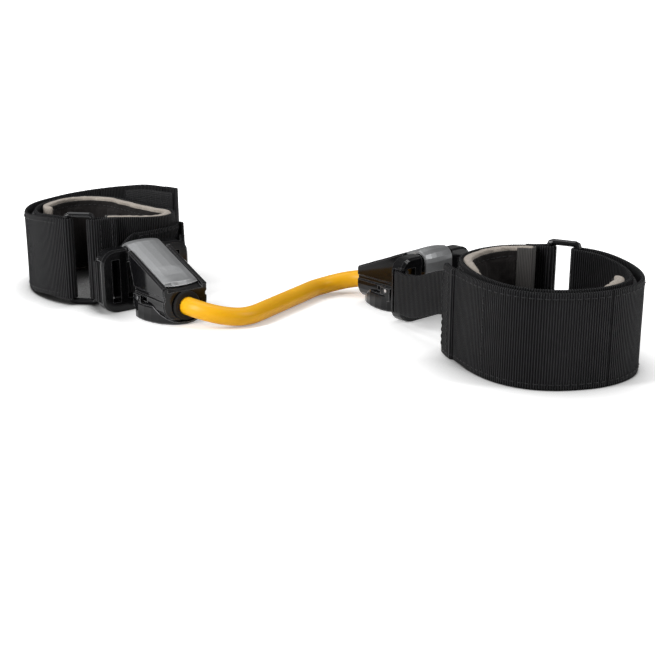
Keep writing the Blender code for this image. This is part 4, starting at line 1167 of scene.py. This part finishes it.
def pad_ring(cuff, s, section):
    line = cuff["line"]
    base = lift(line, s)
    shift = curl(cuff, s)
    height = pad_height(cuff, s)
    ring = []
    for offset, z in section:
        spot = line.at(s, offset + shift)
        ring.append(world(spot.x, spot.y, z * height + base))
    return ring


print("pad section of", len(foam_section()), "points")

# %% [markdown]
# Foam pressed between cloth and ankle is never as even as a drawing, so the pad goes through a short
# cloth simulation. It is blown up a little with pressure while its outer face and two sewing lines stay
# pinned, which puckers the panel between them. How far a point may move is capped, and the result is
# written into the mesh.

# %% Reading a pad's points back
def evaluated_copy(made):
    """The mesh of a piece with its modifiers and simulation worked in."""
    graph = bpy.context.evaluated_depsgraph_get()
    return bpy.data.meshes.new_from_object(made.evaluated_get(graph))


def girth_place(cuff, point):
    """Distance along the girth, offset from the pad's middle and height, in millimetres."""
    flat = Vector((point.x / MM + LAYOUT_ORIGIN[0], point.y / MM + LAYOUT_ORIGIN[1]))
    line = cuff["line"]
    s = line.nearest(flat)
    offset = (flat - line.at(s)).dot(line.side(s))
    return s, offset - curl(cuff, s), point.z / MM - lift(line, s)


print("pad sewing lines", SEAM_INSET, "mm from its long edges")

# %% Cloth simulation of a pad
PAD_VOXEL = 1.3
PIN_DEPTH = 1.6
PIN_SEAM = 0.8
EDGE_BAND = 1.5
END_BAND = 3.0
SWELL_IN = 0.9
SWELL_OUT = 0.15
SWELL_END = 0.35
CLOTH_FRAMES = 20


def swell_pad(made, cuff):
    remesh = made.modifiers.new("remesh", "REMESH")
    remesh.mode = "VOXEL"
    remesh.voxel_size = PAD_VOXEL * MM
    made.data = evaluated_copy(made)
    made.modifiers.clear()
    rest = [v.co.copy() for v in made.data.vertices]
    places = [girth_place(cuff, co) for co in rest]
    pins = made.vertex_groups.new(name="pins")
    for k, (s, offset, z) in enumerate(places):
        sewn_down = seam_gap(z) < PIN_SEAM
        if offset > PAD_FACE - PIN_DEPTH or sewn_down or s < PAD_START + BINDING_LENGTH:
            pins.add([k], 1.0, "REPLACE")
    cloth = made.modifiers.new("cloth", "CLOTH")
    cloth.settings.quality = 4
    cloth.settings.mass = 0.2
    cloth.settings.tension_stiffness = 12.0
    cloth.settings.compression_stiffness = 12.0
    cloth.settings.bending_stiffness = 0.2
    cloth.settings.shrink_min = -0.04
    cloth.settings.use_pressure = True
    cloth.settings.uniform_pressure_force = 4.0
    cloth.settings.vertex_group_mass = "pins"
    cloth.settings.effector_weights.gravity = 0.0
    cloth.collision_settings.use_collision = False
    stage = bpy.context.scene
    for frame_number in range(1, CLOTH_FRAMES + 1):
        stage.frame_set(frame_number)
    swollen = evaluated_copy(made)
    made.modifiers.clear()
    for v, start, blown, (s, offset, z) in zip(made.data.vertices, rest, swollen.vertices, places):
        cap = SWELL_OUT if offset > 0 else SWELL_IN
        if s > cuff["pad_end"] - END_BAND or z > WEBBING_WIDTH - EDGE_BAND or z < EDGE_BAND:
            cap = SWELL_END
        step = blown.co - start
        if step.length > cap * MM:
            step = step.normalized() * cap * MM
        v.co = start + step
    made.vertex_groups.clear()
    stage.frame_set(1)
    smooth = made.modifiers.new("smooth", "SUBSURF")
    smooth.levels = 1
    made.data = evaluated_copy(made)
    made.modifiers.clear()
    made.data.shade_smooth()


print("pad voxel", PAD_VOXEL, "mm, moves at most", SWELL_IN, "mm")

# %% Pinched sewing lines
PINCH_DEPTH = 0.45
PINCH_WIDTH = 0.8
PUCKER_PITCH = 4.3


def pinch_seams(made, cuff):
    """Draw the inner face in along the two sewing lines, finer than the simulation's grid."""
    for v in made.data.vertices:
        s, offset, z = girth_place(cuff, v.co)
        if offset < 0:
            pucker = 0.75 + 0.25 * math.cos(2 * math.pi * s / PUCKER_PITCH)
            dip = PINCH_DEPTH * math.exp(-(seam_gap(z) / PINCH_WIDTH) ** 2) * pucker
            v.co += cuff["line"].side(s).to_3d() * dip * MM


print("sewing lines pinched by", PINCH_DEPTH, "mm")

# %% [markdown]
# The lining has to lie on the foam as it came out of the simulation. From a line of points in front of
# the pad, rays are cast at the foam, and the cloth is laid a hair's gap short of where each one lands.

# %% Lining laid on the foam
LINING_THICK = 0.8
LINING_MARGIN = 2.0
LINING_STEP = 0.8
LINING_ROWS = 60
PROBE_START = 8.0
PROBE_REACH = 12.0
LINING_PROUD = 0.8
LINING_SUNK = 0.9


def lining_lines(cuff, foam_skin, s):
    """Two upright lines of points at one place of the girth: on the foam, and on the cloth's face."""
    line = cuff["line"]
    towards = line.side(s).to_3d()
    probe = curl(cuff, s) - PAD_FACE - PROBE_START
    first = line.at(s, probe)
    on_foam = []
    on_cloth = []
    for k in range(LINING_ROWS + 1):
        share = LINING_MARGIN + (WEBBING_WIDTH - 2 * LINING_MARGIN) * k / LINING_ROWS
        z = share * pad_height(cuff, s) + lift(line, s)
        hit, _, _, reach = foam_skin.ray_cast(world(first.x, first.y, z), towards, PROBE_REACH * MM)
        gap = reach / MM - LAYER_GAP if hit else PROBE_START - LINING_PROUD
        gap = min(gap, PROBE_START - LAYER_GAP + LINING_SUNK)
        for points, back in ((on_foam, 0.0), (on_cloth, LINING_THICK)):
            spot = line.at(s, probe + gap - back)
            points.append(world(spot.x, spot.y, z))
    return on_foam, on_cloth


print("lining", LINING_THICK, "mm thick, in", LINING_ROWS, "rows")

# %% Foam and lining
FOAM_STEP = 1.2
LINING_SHORT = 0.4

for word in WORDS:
    cuff = CUFFS[word]
    line = cuff["line"]
    stop = cuff["pad_end"]
    rings = [pad_ring(cuff, s, foam_section()) for s in line.stations(PAD_START, stop, FOAM_STEP)]
    foam = loft_mesh("foam_pad_" + word, rings, FOAM)
    swell_pad(foam, cuff)
    foam.data.materials.clear()
    foam.data.materials.append(FOAM)
    pinch_seams(foam, cuff)
    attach(foam, "cuff_" + word)
    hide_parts("pad_foam_" + word)
    skin = bmesh.new()
    skin.from_mesh(foam.data)
    foam_skin = BVHTree.FromBMesh(skin)
    skin.free()
    first = PAD_START + BINDING_LENGTH + LAYER_GAP
    stations = line.stations(first, stop - LINING_SHORT, LINING_STEP)
    columns = [lining_lines(cuff, foam_skin, s) for s in stations]
    cuff["lining"] = [on_cloth for _, on_cloth in columns]
    rings = [on_foam + on_cloth[::-1] for on_foam, on_cloth in columns]
    cloth = loft_mesh("knit_lining_" + word, rings, LINING)
    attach(cloth, "cuff_" + word)
    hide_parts("pad_lining_" + word)
    print(word, "pad", round(stop - PAD_START, 1), "mm long,", len(foam.data.vertices), "points")

# %% [markdown]
# A tape is folded over the pad's end beside the slide loop and hides the raw foam there. It is a thin
# strip along a route with one corner, so the same band builder makes it.

# %% Binding tape
BINDING_SHY = 0.2
TAPE_PITCH = 0.9

for word in WORDS:
    line = CUFFS[word]["line"]
    inner = -PAD_FACE - PAD_CROWN - LAYER_GAP - BINDING_THICK / 2
    front = PAD_START - LAYER_GAP - BINDING_THICK / 2
    route = [(PAD_START + BINDING_LENGTH, inner), (PAD_START + BINDING_LENGTH / 2, inner),
             (PAD_START + 0.2, inner), (front, inner + 0.2), (front, PAD_FACE - 0.6)]
    rows = []
    for s, offset in route:
        rows.append(layer_row(line, s, offset, BINDING_THICK, BINDING_SHY))
    band = Band(rows, WEBBING_WIDTH - 2 * BINDING_SHY, TAPE_PITCH)
    tape = weave_band("binding_tape_" + word, band, TAPE, ribs=0.05, size=0.0)
    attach(tape, "cuff_" + word)
    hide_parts("pad_binding_" + word)

# %% [markdown]
# ## Hook and loop
# The pile half covers most of the strap's outside, and the hook half sits inside the end of the tail.

# %% Pile and hook patches
for word in WORDS:
    cuff = CUFFS[word]
    line = cuff["line"]
    margin = PATCH_MARGIN
    stations = line.stations(cuff["roots"][1] + PILE_START, line.length - PILE_END)
    rows = [layer_row(line, s, PILE_OFFSET, PILE_THICK, margin) for s in stations]
    cuff["pile"] = Band(rows, WEBBING_WIDTH - 2 * margin)
    pile = weave_band("pile_patch_" + word + "_felt", cuff["pile"], PILE, ribs=0.0, seed=12.0, size=0.1)
    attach(pile, "cuff_" + word)
    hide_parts("pile_patch_" + word)
    rows = []
    for s in line.stations(cuff["tail_end"] + HOOK_LENGTH, cuff["tail_end"] + 2.0):
        extra, rise = tail_lean(cuff, s)
        rows.append(layer_row(line, s, HOOK_OFFSET + extra, HOOK_THICK, rise + margin))
    hooks = weave_band("hook_patch_" + word + "_tape", Band(rows, WEBBING_WIDTH - 2 * margin), HOOK,
                       ribs=0.0, seed=15.0, size=0.05)
    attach(hooks, "tail_" + word)
    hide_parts("hook_patch_" + word)

# %% [markdown]
# ## Stitching
# Sewing holds every layer here, so it is real thread: each stitch is a short bent tube that comes up
# out of the cloth, lies on it and dives back in. A seam is a walk along the face of a strip, given as
# lengths along it and across it.

# %% Stitch builder
STITCH_LONG = 2.9
STITCH_GAP = 0.9
THREAD_RADIUS = 0.26
STITCH_SIDES = 6
STITCH_STAND = 0.08
STITCH_SHAPE = [(0.0, -1.2, 0.5), (0.1, 0.1, 0.9), (0.35, 0.75, 1.0),
                (0.65, 0.75, 1.0), (0.9, 0.1, 0.9), (1.0, -1.2, 0.5)]


def stitch(shape, start, end, out):
    """One stitch between two points, standing a little proud along out."""
    along = (end - start).normalized()
    over = along.cross(out).normalized()
    rings = []
    for share, rise, size in STITCH_SHAPE:
        middle = start.lerp(end, share) + out * (rise * THREAD_RADIUS * MM)
        ring = []
        for k in range(STITCH_SIDES):
            angle = 2 * math.pi * k / STITCH_SIDES
            arm = over * math.cos(angle) + out * math.sin(angle)
            ring.append(shape.verts.new(middle + arm * (size * THREAD_RADIUS * MM)))
        rings.append(ring)
    for a, b in zip(rings, rings[1:]):
        for k in range(STITCH_SIDES):
            n = (k + 1) % STITCH_SIDES
            shape.faces.new((a[k], a[n], b[n], b[k]))
    shape.faces.new(rings[0][::-1])
    shape.faces.new(rings[-1])


def between(first, second, share):
    return [a + (b - a) * share for a, b in zip(first, second)]


def seam(shape, band, stops, face):
    """Stitches along a walk over one face of a strip. Stops are lengths along and across."""
    pitch = STITCH_LONG + STITCH_GAP
    half_gap = STITCH_GAP / pitch / 2
    for first, second in zip(stops, stops[1:]):
        count = max(1, round(math.dist(first, second) / pitch))
        for k in range(count):
            low = between(first, second, (k + half_gap) / count)
            high = between(first, second, (k + 1 - half_gap) / count)
            start = band.on_face(*low, face, STITCH_STAND)
            above = band.on_face(*low, face, 1.0 + STITCH_STAND)
            stitch(shape, start, band.on_face(*high, face, STITCH_STAND), (above - start).normalized())


def sewn(name, shape):
    mesh = bpy.data.meshes.new(name)
    bmesh.ops.recalc_face_normals(shape, faces=shape.faces)
    shape.to_mesh(mesh)
    shape.free()
    mesh.shade_smooth()
    mesh.materials.append(THREAD)
    made = bpy.data.objects.new(name, mesh)
    bpy.context.scene.collection.objects.link(made)
    print(name, len(mesh.vertices), "points")
    return made


print("stitches", STITCH_LONG, "mm long, thread", 2 * THREAD_RADIUS, "mm thick")

# %% Seams of the straps and tails
EDGE_INSET = 3.0
ROW_INSET = 4.0
SEAM_CLEAR = 3.0
RETURN_ROWS = (3.6, RETURN_LENGTH - 2.2)
HEM_ROWS = (2.0, HEM_LENGTH - 1.6, HOOK_LENGTH - 1.0)


def place_on(band, line, s, offset):
    return band.nearest(line.at(s, offset))


for word in WORDS:
    cuff = CUFFS[word]
    line = cuff["line"]
    strap = cuff["strap"]
    tail = cuff["tail"]
    bar = loop_bar(line)
    shape = bmesh.new()
    edges = (EDGE_INSET, WEBBING_WIDTH - EDGE_INSET)
    for s in [bar + away for away in RETURN_ROWS]:
        place = place_on(strap, line, s, return_offset(s, bar))
        seam(shape, strap, [(place, across) for across in edges], -1)
    first = place_on(strap, line, line.length - bar - 4.0, TAIL_OFFSET)
    last = strap.length - 0.4
    for across in edges:
        seam(shape, strap, [(first, across), (last, across)], -1)
        low = place_on(strap, line, PAD_START + 12.0, STRAP_OFFSET)
        high = place_on(strap, line, cuff["roots"][0] - SEAM_CLEAR, STRAP_OFFSET)
        seam(shape, strap, [(low, across), (high, across)], 1)
        low = place_on(strap, line, cuff["roots"][1] + SEAM_CLEAR, STRAP_OFFSET)
        high = place_on(strap, line, cuff["roots"][1] + PILE_START - 1.0, STRAP_OFFSET)
        seam(shape, strap, [(low, across), (high, across)], 1)
    made = sewn("strap_stitches_" + word, shape)
    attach(made, "cuff_" + word)
    shape = bmesh.new()
    end = tail.length
    for across in edges:
        seam(shape, tail, [(0.6, across), (end - 1.6, across)], -1)
    for away in HEM_ROWS:
        row = [(end - away, across) for across in (ROW_INSET, WEBBING_WIDTH - ROW_INSET)]
        seam(shape, tail, row, -1)
    made = sewn("tail_stitches_" + word, shape)
    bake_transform(made)

# %% [markdown]
# The anchor webbing carries the pull of the tube, so it is sewn to the strap with a box and a cross, and
# its turned-back ends are barred with two short rows each.

# %% Seams of the anchor webbing and the pad
BOX_INSET = 2.2
BOX_SHORT = 1.5
BAR_INSET = 2.4
BAR_ROWS = (1.6, 5.6)
PAD_SEAM_ROWS = (4, LINING_ROWS - 4)
PAD_STITCH_SPAN = 4

for word in WORDS:
    cuff = CUFFS[word]
    line = cuff["line"]
    tie = cuff["tie"]
    left, right = [place_on(tie, line, s, ANCHOR_OFFSET) for s in cuff["roots"]]
    left += BOX_SHORT
    right -= BOX_SHORT
    low = BOX_INSET
    high = ANCHOR_WIDTH - BOX_INSET
    shape = bmesh.new()
    seam(shape, tie, [(left, low), (right, low), (right, high), (left, high), (left, low)], 1)
    seam(shape, tie, [(left, low), (right, high)], 1)
    seam(shape, tie, [(left, high), (right, low)], 1)
    for end in (0.0, tie.length):
        for away in BAR_ROWS:
            place = abs(end - away)
            for face in (-1, 1):
                seam(shape, tie, [(place, BAR_INSET), (place, ANCHOR_WIDTH - BAR_INSET)], face)
    made = sewn("anchor_stitches_" + word, shape)
    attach(made, "cuff_" + word)
    shape = bmesh.new()
    columns = cuff["lining"]
    for row in PAD_SEAM_ROWS:
        for k in range(2, len(columns) - PAD_STITCH_SPAN - 2, PAD_STITCH_SPAN + 1):
            start = columns[k][row]
            end = columns[k + PAD_STITCH_SPAN][row]
            out = (end - start).cross(Vector((0.0, 0.0, 1.0))).normalized()
            side = line.side(PAD_START + BINDING_LENGTH + k * LINING_STEP)
            if out.dot(side.to_3d()) > 0:
                out = -out
            stitch(shape, start, end, out)
    made = sewn("pad_stitches_" + word, shape)
    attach(made, "cuff_" + word)

# %% [markdown]
# ## Loose fibres
# The pile, the tie webbing's brushed faces and the cut end of the tail all stand up in short fibres.
# Each is a bent sliver a few hundredths of a millimetre thick, and their places come from seeded noise,
# so that every run grows the same ones.

# %% Fibre builder
FIBRE_RADIUS = 0.035
FIBRE_SHORTEST = 0.5
NAP_SPREAD = 0.7
FRAY_SPREAD = 0.9


def scatter(seed):
    """A share from 0 to 1 that only depends on the seed."""
    value = noise.noise(Vector((seed * 12.9898, seed * 4.1414, seed * 0.731))) * 43.7585
    return value - math.floor(value)


def fibre(shape, root, out, lean, length):
    tip = root + (out * 0.8 + lean * 0.6).normalized() * length * MM
    middle = root.lerp(tip, 0.5) + out * length * 0.18 * MM
    across = out.cross(lean)
    if across.length < 1e-6:
        return
    across = across.normalized() * FIBRE_RADIUS * MM
    a = shape.verts.new(root - across)
    b = shape.verts.new(root + across)
    c = shape.verts.new(middle + across * 0.8)
    d = shape.verts.new(middle - across * 0.8)
    e = shape.verts.new(tip)
    shape.faces.new((a, b, c, d))
    shape.faces.new((d, c, e))


def shed(shape, root, out, seed, spread):
    """One fibre with a lean and a length of its own."""
    lean = Vector([scatter(seed + shift) - 0.5 for shift in (0.57, 0.73, 0.91)])
    fibre(shape, root, out, lean.normalized(), FIBRE_SHORTEST + spread * scatter(seed + 0.17))


def nap(shape, band, count, first_seed, faces):
    """Fibres standing up all over a strip, on one face or shared by both."""
    for k in range(count):
        seed = k + first_seed
        along = scatter(seed) * band.length
        across = 0.6 + scatter(seed + 0.31) * (band.width - 1.2)
        face = faces[k % len(faces)]
        root = band.on_face(along, across, face, -0.05)
        out = (band.on_face(along, across, face, 1.0) - root).normalized()
        shed(shape, root, out, seed, NAP_SPREAD)


def frayed_end(shape, band, count, first_seed):
    """Fibres that stick out of a strip's cut end."""
    for k in range(count):
        seed = k + first_seed
        face = 1 if scatter(seed) > 0.5 else -1
        across = 0.3 + scatter(seed + 0.29) * (band.width - 0.6)
        root = band.on_face(band.length - 0.1, across, face, -0.6)
        out = (root - band.on_face(band.length - 2.0, across, face, -0.6)).normalized()
        shed(shape, root, out, seed, FRAY_SPREAD)


print("fibres", 2 * FIBRE_RADIUS, "mm thick")

# %% Fibres on pile, ties and hems
PILE_FIBRES = 5200
TIE_FIBRES = 2600
HEM_FIBRES = 160

for word in WORDS:
    cuff = CUFFS[word]
    shape = bmesh.new()
    nap(shape, cuff["pile"], PILE_FIBRES, 0.37 + 7000 * len(word), (1,))
    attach(sewn("pile_fibres_" + word, shape), "cuff_" + word)
    shape = bmesh.new()
    nap(shape, cuff["tie"], TIE_FIBRES, 0.71 + 3000 * len(word), (1, -1))
    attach(sewn("tie_fibres_" + word, shape), "cuff_" + word)
    shape = bmesh.new()
    frayed_end(shape, cuff["tail"], HEM_FIBRES, 0.53 + 900 * len(word))
    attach(sewn("hem_fibres_" + word, shape), "tail_" + word)

# %% [markdown]
# ## Finishes on the hard parts
# The frame's own solids stay as they are. Each takes its finish from a short list of name beginnings,
# and the moulded and cast ones get a fine bevel, since a true corner catches a line of light.

# %% Finishes for the frame's solids
FINISH_BY_START = {
    "clip_housing": GLOSS,
    "release_slide": GLOSS,
    "hook_plate": SILVER,
    "anchor_ring": MOULDING,
    "slide_loop": MOULDING,
    "guide_pin": STEEL,
    "slide_spring": STEEL,
    "tube_collar": RUBBER,
    "tube_plug": RUBBER,
}
BEVEL_BY_START = {"clip_housing": 0.4, "release_slide": 0.4, "hook_plate": 0.4, "anchor_ring": 0.6}
dressed = 0
for name, solid in NODES.items():
    for start, used in FINISH_BY_START.items():
        if name.startswith(start):
            solid.data.materials.clear()
            solid.data.materials.append(used)
            dressed += 1
    for start, width in BEVEL_BY_START.items():
        if name.startswith(start):
            rounder = solid.modifiers.new("fine_bevel", "BEVEL")
            rounder.width = width * MM
            rounder.segments = 3
            rounder.limit_method = "ANGLE"
            rounder.angle_limit = math.radians(32)
            rounder.harden_normals = True
print("solids given a finish:", dressed)

# %% [markdown]
# Inside each clip a small coil pushes the slide back. Nothing in the frame bends, and here each coil
# is only given a mesh of its own.

for word in WORDS:
    place = TO_WORLD @ clip_place(word)
    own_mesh(NODES["slide_spring_" + word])

# %% [markdown]
# ## Floor, lamps and world
# A white sweep with soft light is the usual set for a small product. The floor is a pale surface that
# still takes the trainer's shadow: what the lamps leave short of white is topped up by a glow that only
# the camera and reflections see, so no extra light falls on the object. Shade is painted on it as well:
# the Ambient Occlusion node finds where things stand close over the floor, and there both the glow and the
# floor's colour are turned down towards black, a painted shade inside each cuff and along the walls.
# Near the middle, under the thin tube, the floor is painted pale again.

# %% Floor
def opening(tree, reach, shut, clear):
    """How open the floor is: 0 where nearby things cover a share of the sky, 1 in the clear."""
    made = add(tree, "ShaderNodeAmbientOcclusion", samples=16, ins={"Distance": reach})
    share = add(tree, "ShaderNodeMapRange", ins={"From Min": shut, "From Max": clear})
    join(tree, made.outputs["AO"], share.inputs["Value"])
    return share.outputs["Result"]


def floor_finish():
    made, tree, shader = finish("floor", Roughness=0.9, Specular_IOR_Level=0.1,
                                Emission_Color=(1.0, 1.0, 1.0, 1.0))
    rays = add(tree, "ShaderNodeLightPath").outputs
    seen = sums(tree, "MAXIMUM", rays["Is Camera Ray"], rays["Is Glossy Ray"])
    seen = sums(tree, "MAXIMUM", seen, rays["Is Transmission Ray"])
    length = add(tree, "ShaderNodeVectorMath", operation="LENGTH")
    join(tree, add(tree, "ShaderNodeTexCoord").outputs["Object"], length.inputs[0])
    away = length.outputs["Value"]
    glow = add(tree, "ShaderNodeMapRange", ins={"From Min": 0.12, "From Max": 0.5, "To Min": 0.45})
    join(tree, away, glow.inputs["Value"])
    middle = add(tree, "ShaderNodeMapRange", ins={"From Min": 0.13, "From Max": 0.095})
    join(tree, away, middle.inputs["Value"])
    beside = opening(tree, reach=0.05, shut=0.22, clear=0.9)
    inside = opening(tree, reach=0.12, shut=0.33, clear=0.56)
    open_sky = sums(tree, "MULTIPLY", beside, inside)
    pale = middle.outputs["Result"]
    # Painted shade: the glow fades where the floor is shut in, and is kept up near the middle under the
    # tube.
    lit = sums(tree, "MAXIMUM", open_sky, sums(tree, "MULTIPLY", pale, 0.6))
    lit = sums(tree, "MULTIPLY", glow.outputs["Result"], lit)
    join(tree, sums(tree, "MULTIPLY", seen, lit), shader.inputs["Emission Strength"])
    # Painted shade: the floor's colour is turned nearly black where it is shut in, and stays pale near the
    # middle.
    open_or_pale = sums(tree, "MAXIMUM", open_sky, pale)
    join(tree, blend_colour(tree, open_or_pale, (0.03, 0.03, 0.03), (0.86, 0.86, 0.86)),
         shader.inputs["Base Color"])
    return made


sweep = bpy.data.meshes.new("floor")
sweep.from_pydata([(-9, -9, 0), (9, -9, 0), (9, 9, 0), (-9, 9, 0)], [], [(0, 1, 2, 3)])
sweep.materials.append(floor_finish())
floor = bpy.data.objects.new("floor", sweep)
floor.location = (0.0, 0.0, -0.0002)
bpy.context.scene.collection.objects.link(floor)
print("floor laid")

# %% Lamps and world
def lamp(name, place, aim, size, power):
    """A soft box or strip light. Places and sizes are in metres, power in watts."""
    light = bpy.data.lights.new(name, "AREA")
    light.shape = "RECTANGLE"
    light.size, light.size_y = size
    light.energy = power
    made = bpy.data.objects.new(name, light)
    made.location = place
    made.rotation_euler = (Vector(aim) - Vector(place)).to_track_quat("-Z", "Y").to_euler()
    bpy.context.scene.collection.objects.link(made)
    return made


lamp("top_softbox", (-0.10, 0.30, 0.95), (0.0, 0.0, 0.0), (0.9, 0.5), 4.2)
lamp("left_strip", (-0.62, -0.36, 0.40), (-0.05, 0.02, 0.02), (0.14, 0.60), 7.0)
lamp("right_strip", (0.60, -0.25, 0.42), (0.05, 0.0, 0.02), (0.10, 0.50), 2.4)

sky = bpy.data.worlds.new("studio")
sky.use_nodes = True
bpy.context.scene.world = sky
tree = sky.node_tree
tree.nodes.clear()
rays = add(tree, "ShaderNodeLightPath").outputs
seen = sums(tree, "MAXIMUM", rays["Is Camera Ray"], rays["Is Transmission Ray"])
level = add(tree, "ShaderNodeMapRange", ins={"To Min": 0.21, "To Max": 1.0})
join(tree, seen, level.inputs["Value"])
glow = add(tree, "ShaderNodeBackground", ins={"Color": (1.0, 1.0, 1.0, 1.0)})
join(tree, level.outputs["Result"], glow.inputs["Strength"])
join(tree, glow.outputs[0], add(tree, "ShaderNodeOutputWorld").inputs[0])
bpy.context.scene.view_settings.view_transform = "Standard"

# %% [markdown]
# ## The end

# %% Finish
print("end of the scene script")
